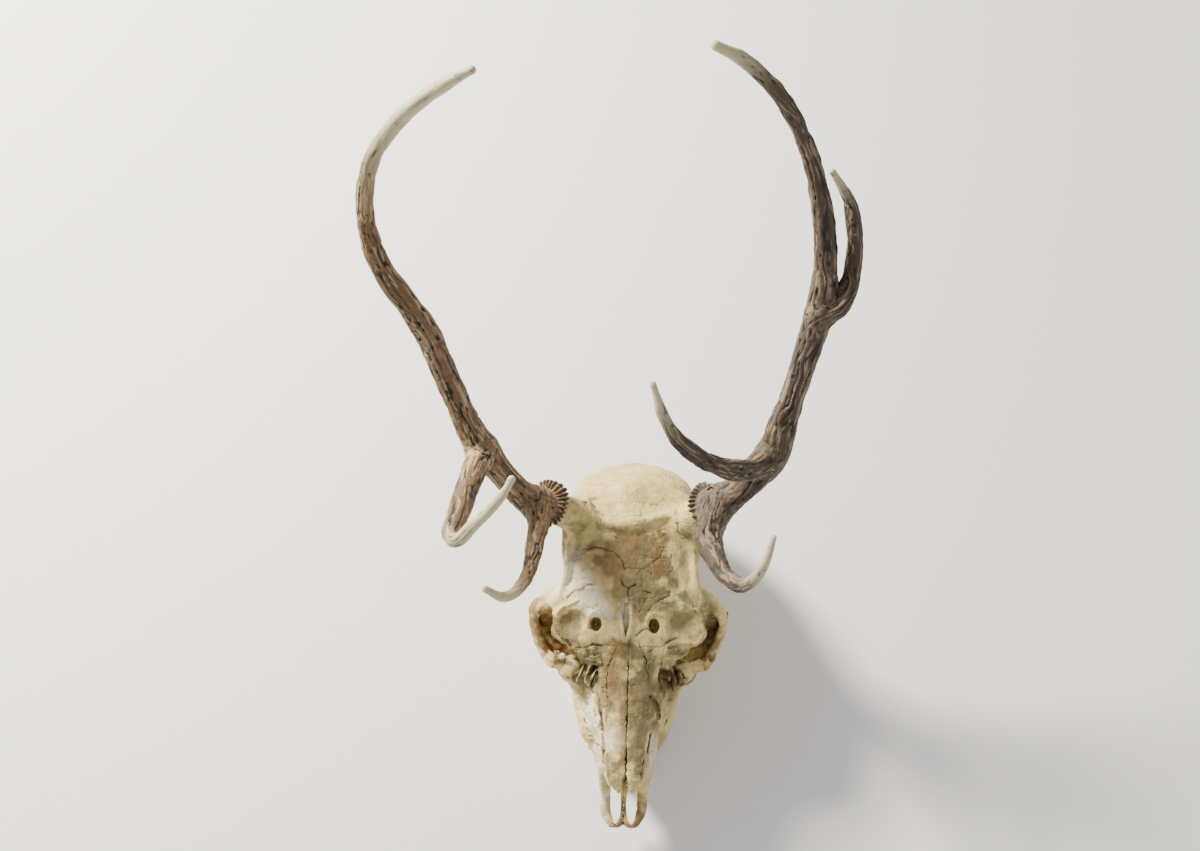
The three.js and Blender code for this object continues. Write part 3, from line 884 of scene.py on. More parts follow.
@dataclass
class SkullSolid:
    """The whole skull as one solid, before it is parted into bones.

    Attributes:
        low: Lowest corner of its grid.
        high: Highest corner of its grid.
        orbit: Middle of the left eye socket.
        orbit_radius: Radius of its ring of bone.
        facing: Where the left eye socket looks.
        rear_lean: How far the back of the braincase leans to the left.
    """

    low: Point = (-97.0, 44.0, -4.0)
    high: Point = (97.0, 380.0, 180.0)
    orbit: Point = (65.5, 199.0, 97.0)
    orbit_radius: float = 25.0
    facing: Point = (0.9, -0.36, 0.22)
    rear_lean: float = 3.5

    def build(self) -> Field:
        """Makes the skull's grid of distances.

        Returns:
            The finished grid.
        """
        solid = Field(self.low, self.high, BONE_PITCH)
        self._cranium(solid)
        self._face(solid)
        self._base(solid)
        for side in Side:
            self._orbit(solid, side)
            self._cheek(solid, side)
            self._rear_side(solid, side)
        self._temples(solid)
        for side in Side:
            self._sockets(solid, side)
            self._premaxilla(solid, side)
            self._face_detail(solid, side)
        self._openings(solid)
        self._forehead_detail(solid)
        solid.value = np.maximum(solid.value, 0.2 - solid.axes[2][None, None, :])
        return solid

    def _cranium(self, solid: Field) -> None:
        """Adds the braincase, the forehead and the pedicles.

        Args:
            solid: The skull's grid.
        """
        vault = (
            (168, 30, 112, 66, 0.2), (190, 31, 122, 66, 0.2), (210, 30, 132, 66, 0.1),
            (232, 36, 143, 60), (256, 45, 150, 51), (282, 50, 155, 43), (308, 54.5, 152, 37),
            (330, 53.5, 135.5, 33), (345, 45, 116, 35), (355, 30, 97, 42), (361, 13, 82, 52),
        )
        solid.join(Loft.through(vault, self.rear_lean), 0.0)
        plate = (
            (172, 34, 121, 100, 0.5), (182, 50, 126.5, 112, 0.5), (194, 64, 131, 114, 0.4),
            (208, 66, 136, 114, 0.3), (220, 60, 140.5, 114, 0.2), (234, 54, 145, 112, 0.2),
            (250, 56, 150, 110, 0.2), (268, 58.5, 154, 112, 0.1), (285, 56, 156, 112),
            (300, 54, 151.5, 110), (316, 48, 141, 108),
        )
        solid.join(Loft.through(plate, self.rear_lean), 5.0)
        for side, neck in ((Side.LEFT, (53.0, 287.5, 164.2)), (Side.RIGHT, (-59.4, 287.7, 164.4))):
            route = (side.flip((35, 284, 126)), side.flip((46, 286.5, 150)), neck)
            solid.join(Rod(route, ((0.0, 20.0), (0.7, 14.4), (1.0, 13.2))), 7.0)

    def _face(self, solid: Field) -> None:
        """Adds the nose and the upper jaws.

        Args:
            solid: The skull's grid.
        """
        rows = (
            (78, 12, 15, -5, 74, 0.4), (84, 13.5, 18.0, -1, 64, 0.5), (93, 14.5, 21.0, 0, 46, 0.6),
            (105, 16, 24, 0, 27, 0.7), (116, 18, 28, 0, 21, 0.8), (124, 20, 31, 0, 19, 0.8),
            (131, 22, 38.5, 0, 18, 0.8), (150, 28, 41.5, 0, 15, 0.7), (168, 35, 42, 0, 13, 0.6),
            (182, 48, 45, -3, 13, 0.5),
        )
        sections = [
            (y, half, float(nose_top(y)) + lift, bottom, square, low)
            for y, half, low, lift, bottom, square in rows
        ]
        solid.join(Loft.through((*sections, (193, 40, 119, 24, 0.3, 40))), 4.0)
        for side in Side:
            socket = CheekTeeth.middle
            row = side.route([(socket(y) + 0.5, y, 26) for y in (108, 118, 126, 134, 148, 164, 180, 191)])
            radii = ((0.0, 4.0), (0.15, 4.8), (0.28, 8.4), (0.6, 8.4), (0.85, 8.0), (1.0, 5.0))
            solid.join(Rod(row, radii), 4.0)
            tip = side.route([(9.5, 98, 94.5), (8.6, 88, 91.5), (7.0, 79, 89), (5.4, 72.6, 86.5)])
            blade = (side.value * 0.32, -0.33, 0.89)
            solid.join(Rod(tip, ((0.0, 9.5), (0.45, 8.0), (0.8, 4.4), (1.0, 1.8)), blade, 0.32, 2.0), 1.5)

    def _base(self, solid: Field) -> None:
        """Adds the skull base, the palate's rear wings and the condyles.

        Args:
            solid: The skull's grid.
        """
        bar = ((0, 196, 66), (0, 250, 52), (0, 310, 38), (0, 352, 36))
        solid.join(Rod(bar, ((0.0, 12.0), (0.6, 12.5), (1.0, 13.0))), 5.0)
        for side in Side:
            condyle = Ovoid(side.flip((14, 360, 38)), (10.5, 13, 15), (-20, 0, side.value * -18))
            solid.join(condyle, 3.0)
            wing = side.route([(20, 176, 40), (15, 200, 44), (14, 228, 50), (12, 252, 54)])
            solid.join(Rod(wing, taper(15.0, 15.0, 6.0), flat=0.2), 3.0)
            hamulus = side.route([(14, 222, 42), (13.5, 229, 34), (14.5, 233, 30)])
            solid.join(Rod(hamulus, taper(4.0, 1.8), flat=0.6), 2.0)
        for x in (-5.5, 5.5):
            solid.join(Ovoid((x, 304, 30), (5, 10, 5)), 4.0)
        scar = ((1, 354, 90), (1.5, 357, 85), (1.5, 360, 79), (1, 361, 74))
        solid.join(Rod(scar, taper(2.0, 2.2, 1.6)), 3.0)

    def _rear_side(self, solid: Field, side: Side) -> None:
        """Adds the ear capsule, its canal and the process behind it.

        Args:
            solid: The skull's grid.
            side: Which side.
        """
        blade = side.route([(34, 334, 66), (35, 340, 40), (33, 343, 16), (31, 344, 1)])
        solid.join(Rod(blade, taper(13.0, 9.0, 5.0), (1, 0, 0), 0.55), 4.0)
        solid.join(Ovoid(side.flip((22, 316, 32)), (8.5, 12.5, 11), (15, 0, 0)), 2.0)
        canal = side.route([(26, 318, 42), (40, 322, 50), (50, 322, 57)])
        solid.join(Rod(canal, even(6.0)), 2.5)
        styloid = side.route([(32, 308, 42), (33, 303, 33), (34, 300, 24)])
        solid.join(Rod(styloid, taper(3.5, 1.3)), 2.0)
        crest = side.route([(49, 322, 66), (45, 336, 80), (37, 346, 87), (22, 353, 87), (0, 355, 88)])
        lean = tuple((x + self.rear_lean * 0.9, y, z) for x, y, z in crest)
        solid.join(Rod(lean, even(3.0)), 4.0)
        solid.cut(Ovoid(side.flip((17, 364, 88)), (11, 5.5, 10)), 4.0)
        joint = side.route([(52, 292, 64), (50, 302, 62)])
        solid.join(Rod(joint, even(6.5), (0, 0, 1), 0.6), 3.0)

    def _orbit(self, solid: Field, side: Side) -> None:
        """Adds the walls round an eye socket.

        Args:
            solid: The skull's grid.
            side: Which side.
        """
        x, y, z = self.orbit
        solid.join(Ovoid(side.flip((46, 173, 88)), (13, 12, 22), (0, 0, side.value * 20)), 4.0)
        solid.join(Ovoid(side.flip((57, 194, 71)), (10, 18, 8), (0, 0, side.value * 30)), 4.0)
        solid.join(Ovoid(side.flip((50, 189, 72)), (9, 18, 8)), 4.0)
        ring = Ring(side.flip((x + 2.5, y, z)), side.flip(self.facing), self.orbit_radius, (3.9, 6.4))
        solid.join(ring, 3.0)
        bar = side.route([(66, 216, 122), (74, 221, 112), (76, 222, 97), (74, 220, 82), (70, 214, 72)])
        solid.join(Rod(bar, taper(6.5, 5.5, 6.5), (0.5, -0.85, 0), 0.6), 3.0)
        hood = side.route([(30, 190, 126), (44, 189, 126), (57, 191, 124), (65, 199, 122), (68, 209, 121)])
        solid.join(Rod(hood, taper(3.0, 3.6, 4.2)), 5.0)

    def _cheek(self, solid: Field, side: Side) -> None:
        """Adds the cheekbone, its arch and the bump of the jaw in front of it.

        Args:
            solid: The skull's grid.
            side: Which side.
        """
        points = [(31, 150, 60), (45, 172, 68), (64, 194, 70), (66.5, 217, 70), (57, 248, 68), (48, 290, 64)]
        radii = ((0.0, 13.0), (0.3, 10.0), (0.6, 6.6), (0.85, 5.4), (1.0, 8.0))
        solid.join(Rod(side.route(points), radii, (1, 0, 0), 0.55), 3.0)
        ridge = side.route([(34, 140, 44), (38, 158, 50), (47, 176, 58), (62, 194, 64)])
        solid.join(Rod(ridge, taper(2.5, 4.0, 3.0)), 5.0)

    def _temples(self, solid: Field) -> None:
        """Hollows the temples out behind the eye sockets.

        Args:
            solid: The skull's grid.
        """
        for side in Side:
            solid.cut(Ovoid(side.flip((64, 258, 84)), (18.5, 43, 41), (0, 0, side.value * 8)), 4.0)
            solid.cut(Ovoid(side.flip((45, 232, 92)), (15, 18, 22)), 5.0)
        for side in Side:
            points = [(47, 174, 68), (64, 194, 70), (66.5, 217, 70), (57, 248, 68), (48, 290, 64)]
            radii = ((0.0, 8.0), (0.4, 7.0), (0.8, 5.6), (1.0, 7.0))
            solid.join(Rod(side.route(points), radii, (1, 0, 0), 0.55), 3.0)
            points = [(38, 290, 154), (50, 268, 148), (53, 246, 142), (57, 228, 134), (67, 214, 124)]
            solid.join(Rod(side.route(points), taper(3.0, 2.6, 4.0)), 6.0)

    def _sockets(self, solid: Field, side: Side) -> None:
        """Hollows out an eye socket, and breaks the right one's outer rim.

        Args:
            solid: The skull's grid.
            side: Which side.
        """
        x, y, z = self.orbit
        hollow = Ovoid(side.flip((x - 4, y - 1, z - 1)), (31, 23.5, 22.5), (0, 0, side.value * -21))
        solid.cut(hollow, 1.6)
        solid.cut(Ovoid(side.flip((84.5, 195, 121)), (21, 17, 42), (0, 0, side.value * -14)), 1.2)
        solid.cut(Ovoid(side.flip((80, 204.5, 122)), (19, 8.5, 34)), 1.6)
        bites = ((28, 22, 6.5), (8, 22, 7.5), (-14, 22, 7.5), (-36, 22, 7), (-58, 21, 6), (-78, 20, 4.6))
        for degrees, away, size in bites:
            angle = math.radians(degrees)
            spot = (50 + away * math.cos(angle), 202 + away * math.sin(angle), 114)
            solid.cut(Ovoid(side.flip(spot), (size, size, 30)), 1.5)
        shelf = side.route([(46, 232, 136), (61, 226, 130), (73, 220, 118), (79, 215.5, 106)])
        solid.join(Rod(shelf, taper(8.0, 8.0, 6.0), (side.value * 0.5, 0.15, 0.85), 0.4), 3.0)
        bar = side.route([(73, 221, 117), (77, 219, 104), (77, 217, 92), (72, 214, 78), (66, 210, 71)])
        solid.join(Rod(bar, taper(6.0, 8.0, 9.0), (side.value * 0.4, -0.9, 0.1), 0.45), 2.5)
        screen = side.route([(53, 217, 106), (62, 218.5, 99), (70, 218.5, 93)])
        solid.join(Rod(screen, taper(13.0, 19.0, 11.0), (side.value * -0.05, -0.95, 0.28), 0.2), 2.0)
        wall = side.route([(80, 214, 104), (80, 208, 94), (77, 201, 83), (71, 192, 75), (62, 181, 76)])
        solid.join(Rod(wall, taper(6.0, 8.0, 6.0), (side.value * 0.8, -0.45, 0.35), 0.38), 2.5)
        sill = side.route([(66, 184, 80), (60, 178, 88), (54, 175.5, 98), (48, 175, 108)])
        solid.join(Rod(sill, taper(4.0, 2.6, 2.2)), 2.0)
        solid.cut(Ovoid(side.flip((36, 206, 90)), (9, 11, 10)), 3.0)
        duct = side.route([(46, 182, 92), (40, 176, 88)])
        solid.cut(Rod(duct, even(2.2)), 0.8)
        if side is Side.RIGHT:
            for bite in (
                ((-84, 199, 104), (6, 5, 8)), ((-79, 189, 96), (7, 5, 12)),
                ((-87, 210, 113), (5, 4, 6), (0, 20, 0)), ((-72, 212, 120), (3.4, 3.0, 9)),
            ):
                solid.cut(Ovoid(*bite), 0.8)
            splinter = ((-62, 183, 100), (-58, 179, 109), (-54, 177, 115))
            solid.join(Rod(splinter, taper(2.5, 4.6, 3.0), (-0.3, -0.6, 0.7), 0.4), 0.8)

    def _premaxilla(self, solid: Field, side: Side) -> None:
        """Adds one half of the front of the snout and opens its window.

        Args:
            solid: The skull's grid.
            side: Which side.
        """
        outer = [(9.5, 54.4, 36), (14.2, 60, 36.5), (15.6, 74, 42), (16.4, 84, 56), (17.0, 96, 74)]
        radii = ((0.0, 4.9), (0.3, 5.4), (0.7, 6.4), (1.0, 8.0))
        solid.join(Rod(side.route(outer), radii, (0.9, 0, 0.2), 0.84, 3.0), 1.6)
        solid.join(Ovoid(side.flip((7.2, 55, 36)), (7.2, 6, 4.6)), 2.0)
        inner = side.route([(2.4, 54, 36), (2.4, 76, 37), (2.4, 104, 38)])
        solid.join(Rod(inner, even(3.0)), 1.0)

    def _face_detail(self, solid: Field, side: Side) -> None:
        """Models the plates, steps and broken slabs at one side of the nose.

        Args:
            solid: The skull's grid.
            side: Which side.
        """
        groove = side.route([(13, 84, 90.5), (16.5, 104, 98), (19.5, 130, 106), (20.5, 150, 112.5)])
        solid.cut(Rod(groove, taper(1.2, 1.8, 1.0)), 2.5)
        if side is Side.LEFT:
            slot = ((17, 147, 110), (22.5, 141, 99), (25.5, 137.5, 88), (26.5, 135, 79))
            solid.cut(Rod(slot, ((0.0, 1.8), (0.4, 4.0), (1.0, 2.6))), 0.6)
            flap = ((17, 140, 109), (22, 133, 99), (25, 130, 86))
            solid.join(Rod(flap, taper(1.5, 3.0, 1.5), (0.8, 0, 0.6), 0.5), 1.5)
            slab = ((22.6, 126, 86), (21.4, 115, 81), (20.0, 104, 77))
            self._slab(solid, slab, 5.6, (0.74, -0.2, 0.64))
            solid.cut(Rod(((17.4, 99.5, 72), (22, 98, 66)), even(2.6)), 0.6)
        else:
            step = ((-27, 152, 107), (-24, 143, 103), (-20.5, 134, 98), (-19.5, 124, 93))
            solid.cut(Rod(step, taper(1.8, 3.4, 2.2)), 0.8)
            slab = ((-22.6, 117, 85), (-21.4, 109, 81), (-20.2, 101, 78))
            self._slab(solid, slab, 5.4, (-0.74, -0.2, 0.64))
            self._slab(solid, ((-22.0, 131, 92), (-22.6, 123, 88)), 3.4, (-0.7, -0.1, 0.7))
            solid.cut(Ovoid((-21.5, 121, 89), (5.0, 3.0, 6)), 0.6)

    @staticmethod
    def _slab(solid: Field, points: tuple[Point, ...], width: float, out: Point) -> None:
        """Stands a broken slab of bone a little proud of the surface, with a gap round it.

        Args:
            solid: The skull's grid.
            points: The points of its middle line.
            width: Half its width.
            out: The direction it faces.
        """
        solid.cut(Rod(points, even(width + 2.0), out, 0.36, 2.0), 0.6)
        raised = tuple(tuple(a + 2.3 * b for a, b in zip(point, out)) for point in points)
        solid.join(Rod(raised, even(width), out, 0.26, 2.0), 0.4)

    def _openings(self, solid: Field) -> None:
        """Opens the palate, the nose, the spinal opening and the smaller holes.

        Args:
            solid: The skull's grid.
        """
        solid.cut(Ovoid((0, 132, 12), (21, 62, 24)), 2.0)
        solid.cut(Ovoid((0, 196, 44), (11.5, 30, 15)), 2.0)
        solid.cut(Ovoid((0, 76, 62), (11, 42, 17), (20, 0, 0)), 1.5)
        solid.cut(Rod(((0, 374, 55), (0, 356, 58), (0, 336, 68)), even(11.0)), 1.5)
        solid.cut(Ovoid((0, 320, 84), (26, 34, 24)), 1.5)
        solid.cut(Ovoid((-0.6, 70, 88), (2.4, 12, 14)), 1.0)
        for side in Side:
            solid.cut(Ovoid(side.flip((6.6, 69, 38)), (4.3, 17.5, 17)), 0.8)
            self._vacuity(solid, side)
            hole = (20.2, 201.5, 128) if side is Side.LEFT else (-27.4, 201.5, 128)
            solid.cut(Ovoid(hole, (4.8, 6.4, 14), (16, 0, 0)), 1.4)
            solid.cut(Ovoid(side.flip((37, 118, 50)), (6, 5, 3.4)), 1.2)
            solid.cut(Rod(side.route([(38, 122, 50), (33, 138, 48)]), even(2.8)), 0.8)
            for spot, size, blend in (
                ((13, 158, 33), (2, 4, 4), 1.0), ((11, 352, 48), (2.4, 5, 2.4), 1.0),
                ((24, 296, 44), (4, 6, 4), 1.2), ((52.5, 322, 58), (5, 3.4, 3.4), 0.8),
                ((37, 214, 100), (5, 3.2, 3.2), 0.8), ((30, 238, 74), (7, 4.5, 4), 1.5),
            ):
                solid.cut(Ovoid(side.flip(spot), size), blend)
        solid.cut(Ovoid((-58, 192, 124), (1.2, 1.2, 4)), 0.4)

    @staticmethod
    def _vacuity(solid: Field, side: Side) -> None:
        """Opens the gap in front of an eye socket, with its broken plates of bone.

        Args:
            solid: The skull's grid.
            side: Which side.
        """
        for spot, size in (
            ((33, 162.5, 102), (9.2, 7.0, 24)),
            ((40, 164, 98), (7.0, 6.6, 22)),
            ((30, 167.5, 110), (5.0, 3.4, 16)),
            ((36, 157, 98), (5.0, 4.2, 16)),
        ):
            solid.cut(Ovoid(side.flip(spot), size, (0, 0, side.value * -20)), 0.6)
        plates = {
            Side.LEFT: (
                ((37, 169, 104), (38.5, 163, 101), (37, 157, 98)),
                ((44, 168, 98), (41, 163, 95), (43, 159, 92)),
                ((27, 160, 101), (31, 158.5, 99), (34, 161, 97)),
            ),
            Side.RIGHT: (
                ((-31, 169.5, 110), (-34, 164, 104), (-30, 159, 100)),
                ((-38, 168, 104), (-41, 163, 99)),
                ((-27, 165, 108), (-32, 165, 104)),
            ),
        }
        for plate in plates[side]:
            solid.join(Rod(plate, taper(7.0, 5.0), (side.value * 0.9, 0.4, 0.0), 0.16, 2.0), 0.4)

    def _forehead_detail(self, solid: Field) -> None:
        """Models the ridges, rims and grooves of the forehead and nose.

        Args:
            solid: The skull's grid.
        """
        solid.cut(Rod(((0.3, 84, 91.6), (0, 130, 108.5), (-0.5, 160, 119), (-1, 186, 129)), even(0.3)), 0.9)
        keel = solid.drape(((-3.2, 216), (-3.0, 204), (-3.0, 196), (-3.2, 190)), -0.4)
        solid.cut(Rod(keel, ((0.0, 1.6), (0.7, 2.4), (1.0, 1.2))), 1.0)
        right_wall = ((-7.8, 219), (-7.2, 208), (-6.2, 197), (-3.9, 187))
        left_wall = ((1.6, 219), (1.4, 208), (0.4, 197), (-2.8, 187))
        for path in (right_wall, left_wall):
            wall = Rod(solid.drape(path, 1.0), ((0.0, 0.5), (0.3, 1.3), (0.8, 1.5), (1.0, 1.1)))
            solid.join(wall, 1.0)
        for side in Side:
            groove = [(19, 196, 134.4), (13, 191, 132.5), (9, 185, 129.5)]
            solid.cut(Rod(side.route(groove), taper(2.2, 0.8)), 2.4)
            dish = Ovoid(side.flip((46, 200, 138.5)), (16, 12.5, 11.5), (18, side.value * 12, 0))
            solid.cut(dish, 4.0)
            plan = (
                (43, 219), (48, 216), (55, 214), (60.5, 208.5), (62.5, 201.5), (61.5, 195), (58, 189.5),
                (54, 186.8),
            )
            lip = solid.drape(tuple((px * side.value, py) for px, py in plan), 0.6)
            solid.join(Rod(lip, ((0.0, 0.8), (0.3, 1.7), (0.8, 1.9), (1.0, 1.2))), 2.0)
            hollow = Ovoid(side.flip((17, 252, 161.5)), (27, 29, 11.5), (12, 0, 0))
            solid.cut(hollow, 8.0)
        rim = solid.drape(((-34.0, 198), (-34.0, 204), (-31.4, 209), (-27.0, 210.5), (-23.0, 207.5)), 0.8)
        solid.join(Rod(rim, taper(1.0, 2.4, 1.4)), 1.0)
        rim = solid.drape(((25.6, 208), (20.5, 210), (15.0, 206.5), (14.0, 200)), 0.4)
        solid.join(Rod(rim, taper(0.8, 1.5, 1.0)), 1.0)
        ridge = ((-36, 286, 156.5), (-21, 279, 156.5), (-4, 281, 157.5), (15, 284, 157), (30, 289, 155))
        solid.join(Rod(ridge, even(2.4)), 9.0)
        solid.join(Ovoid((-38, 297, 153), (4.2, 4.2, 4.4)), 2.0)
        solid.cut(Ovoid((-38.6, 297, 158), (1.6, 1.6, 3)), 1.0)


@dataclass(frozen=True)
class Crack:
    """A crack in the upper side of the skull, seen in plan.

    Attributes:
        line: Its points in X and Y.
        width: Half its width.
        depth: How deep it is.
    """

    line: tuple[Flat, ...]
    width: float = 0.42
    depth: float = 0.6

    def closeness(self, points: Array, wander: Array) -> Array:
        """Tells how near points lie to the crack.

        Args:
            points: Points in the skull's frame.
            wander: Sideways shake of the points, two values each.

        Returns:
            1 in the crack, falling to 0 beside it.
        """
        line = np.array(self.line, float)
        reach = 4.0 + self.width
        inside = ((points[:, :2] > line.min(0) - reach) & (points[:, :2] < line.max(0) + reach)).all(1)
        result = np.zeros(len(points))
        near = points[inside, :2] + wander[inside]
        best = np.full(len(near), 99.0)
        for start, end in zip(line[:-1], line[1:]):
            step = end - start
            t = np.clip(((near - start) @ step) / (step @ step), 0.0, 1.0)
            gap = np.linalg.norm(near - start - t[:, None] * step, axis=1)
            best = np.minimum(best, gap)
        result[inside] = np.clip(1.4 - best / self.width, 0.0, 1.0)
        return result


@dataclass(frozen=True)
class Patch:
    """A soft-edged patch of colour on the skull.

    Attributes:
        centre: Its middle.
        radii: Its half sizes along X, Y and Z.
        strength: How strong it is at its middle.
        ragged: How ragged its edge is.
    """

    centre: Point
    radii: Point
    strength: float = 1.0
    ragged: float = 0.5

    def at(self, points: Array, shake: Array) -> Array:
        """Reads the patch at points, whose shake makes its edge ragged."""
        size = np.linalg.norm((points - np.array(self.centre)) / np.array(self.radii), axis=1)
        return self.strength * (1.0 - smoothstep(size + self.ragged * shake, 0.5, 1.35))


CRACKS = (
    Crack((
        (-46, 260), (-41, 258), (-34.5, 260), (-26, 260.5), (-18, 259), (-14, 256), (-8, 252), (-5, 246),
        (-2.6, 240),
    )),
    Crack(((-8, 234), (-6.5, 230.6), (-1.6, 227.7), (4.4, 231.3)), 0.6, 1.0),
    Crack(((-1.6, 227.7), (-2.0, 222.0), (-2.2, 216.0)), 0.4, 0.5),
    Crack(((40, 300), (36.2, 293), (35.6, 286), (36.9, 280.5), (38.6, 275.6), (41.5, 272)), 0.8, 1.2),
    Crack(((26.4, 262), (23, 255), (17.7, 249), (8.3, 243.5), (3.6, 237.4)), 0.45, 0.6),
    Crack(((12.4, 241.6), (18, 240)), 0.45, 0.6),
    Crack(((10, 226.5), (16, 226)), 0.45, 0.6),
    Crack(((-52.6, 220), (-48.6, 224), (-42, 226), (-36.5, 230.5), (-30, 231)), 0.6, 0.9),
    Crack(
        ((32, 226.3), (30.6, 222.3), (23.8, 220), (19, 216.4), (15.8, 212.5), (13.2, 207.3), (12, 203.4)),
        0.65, 1.1,
    ),
    Crack(((7.7, 209), (10, 215), (13.6, 220.1)), 0.5, 0.7),
    Crack(((5.5, 191.8), (8, 194.5), (12, 197), (17, 197.5)), 0.7, 1.1),
    Crack(((38.3, 190.5), (32.9, 187.6), (26.8, 184.6)), 0.8, 1.2),
    Crack(((17.4, 179.2), (22.1, 184.3)), 0.5, 0.7),
    Crack(
        ((-22.6, 184), (-29.6, 184.8), (-37.7, 182), (-45.9, 182.5), (-48.7, 185.5), (-54.4, 189)),
        0.75, 1.1,
    ),
    Crack(((1.4, 117.6), (4.8, 121)), 0.6, 0.8),
    Crack(((1.2, 153.7), (6.6, 154)), 0.35, 0.4),
    Crack(((44, 221), (50, 217), (56, 216)), 0.4, 0.5),
    Crack(((52, 219), (55, 211), (60, 208)), 0.35, 0.4),
    Crack(((-12, 284), (-2, 287), (9, 286)), 0.4, 0.4),
    Crack(((-28, 276), (-20, 270), (-12, 268)), 0.4, 0.5),
    Crack(((28, 236), (34, 246), (33, 256)), 0.35, 0.4),
    Crack(((-36, 214), (-30, 212), (-27, 216)), 0.35, 0.4),
    Crack(((12, 172), (17, 164), (16, 158)), 0.4, 0.5),
    Crack(((-12, 176), (-16, 170), (-20, 166)), 0.4, 0.5),
)


def patches(*rows: tuple) -> tuple[Patch, ...]:
    """Makes patches of rows that hold each one's values in order."""
    return tuple(Patch(*row) for row in rows)


POROUS = ((-36, 136, 76), (17, 24, 32), 1.0, 0.6)

STAINS = patches(
    ((-59, 262, 128), (6, 20, 20), 0.9), ((-0.5, 264, 153), (8, 10, 12), 0.75),
    ((22, 262, 152), (5.5, 16, 12), 0.95), ((-19, 246, 148), (14, 12, 12), 0.6),
    ((6, 304, 151), (16, 8, 12), 0.35), ((-11, 160, 118), (7, 26, 16), 0.75),
    ((-4, 106, 100), (7, 16, 16), 0.35), ((34, 300, 150), (10, 8, 14), 0.4),
    ((20, 268, 153), (12, 8, 10), 0.3), ((-80, 210, 95), (14, 22, 28), 1.0),
    ((66, 196, 92), (16, 26, 26), 0.9), ((-62, 196, 92), (24, 26, 26), 1.0),
    ((36, 162, 98), (14, 12, 18), 0.9), ((-34, 162, 92), (13, 12, 14), 0.7),
    ((24, 138, 92), (7, 12, 18), 0.6), ((46, 164, 92), (9, 12, 18), 0.5),
    ((12, 64, 38), (12, 16, 9), 0.6), ((-9, 60, 36), (10, 12, 9), 0.5),
    ((-40, 262, 130), (16, 16, 18), 0.4), ((-50, 286, 150), (15, 15, 20), 0.45),
)

# Pale patches: bleached bone, and painted sunlight on the right of the forehead and brow, with a painted
# highlight on the right foramen's rim.
BLEACHED_AND_SUNLIT = patches(
    ((-29, 208.5, 138), (8, 4.5, 8), 0.9, 0.2), ((-41, 229, 139), (21, 17, 18), 0.8, 0.4),
    ((-50, 248, 140), (12, 18, 20), 0.7, 0.3), ((-25, 214, 138), (13, 9, 12), 0.75, 0.4), POROUS,
    ((-10, 112, 101), (8, 12, 12), 0.6, 0.5), ((-3, 205, 137), (6, 22, 6), 0.8, 0.2),
    ((-60, 188, 78), (14, 12, 14), 0.9, 0.5), ((-17, 104, 78), (9, 20, 14), 0.8, 0.5),
    ((20, 108, 82), (7, 16, 14), 0.7, 0.5), ((-14, 70, 40), (7, 20, 12), 0.6, 0.5),
)

FOLDED = patches(
    ((-33, 175, 119), (19, 9, 14), 1.0, 0.4), ((33, 176, 121), (19, 9, 14), 1.0, 0.4),
    ((-56, 182, 108), (10, 9, 14), 0.5, 0.4), ((62, 208, 126), (9, 12, 10), 0.35, 0.4),
)

# Darker patches, partly older bone and partly painted shade: the forehead bowl, the nose, the left side of
# the face and the place beside the right pedicle are darkened where they lie in shade.
AGED_AND_SHADOWED = patches(
    ((3, 252, 150), (42, 29, 18), 0.95, 0.4), ((8, 222, 142), (30, 20, 14), 0.85, 0.5),
    ((-16, 157, 110), (16, 27, 26), 1.0, 0.3), ((46, 202, 130), (28, 22, 16), 0.65, 0.5),
    ((-53, 198, 128), (19, 15, 16), 1.0, 0.5), ((8, 140, 108), (26, 62, 26), 0.9, 0.5),
    ((-16, 172, 122), (24, 18, 16), 0.7, 0.5), ((-12, 92, 92), (12, 24, 14), 0.7, 0.5),
    ((40, 150, 80), (18, 40, 40), 0.5, 0.6), ((-46, 286, 146), (20, 19, 28), 1.0, 0.3),
    ((12, 60, 38), (14, 22, 12), 0.7, 0.6), ((-2, 60, 36), (5, 24, 8), 0.8, 0.3),
)

# Olive bloom, and painted shade: the patch beside the right pedicle darkens where it lies in shade.
GREENED_AND_SHADED = patches(
    ((56, 211, 130), (17, 13, 12), 0.5, 0.7), ((34, 177, 121), (17, 9, 12), 0.8, 0.8),
    ((-34, 176, 119), (16, 8, 12), 0.6, 0.8), ((-40, 292, 150), (16, 10, 16), 0.5, 0.7),
    ((10, 250, 150), (44, 34, 14), 0.25, 0.8), ((8, 120, 104), (9, 40, 14), 0.3, 0.7),
)


@dataclass(frozen=True)
class BonePlan:
    """A bone, and the regions that bound it.

    Attributes:
        name: Its name, with {side} for the side of one of a pair.
        slot: Its material slot.
        inside: The regions that it lies in.
        outside: The regions that it keeps out of.
        node: The CAD node that it stands for, if that has another name.
        gap: How far it stands off the midline, if it is one of a pair.
    """

    name: str
    slot: str
    inside: tuple[str, ...]
    outside: tuple[str, ...]
    node: str = ""
    gap: float = 0.0


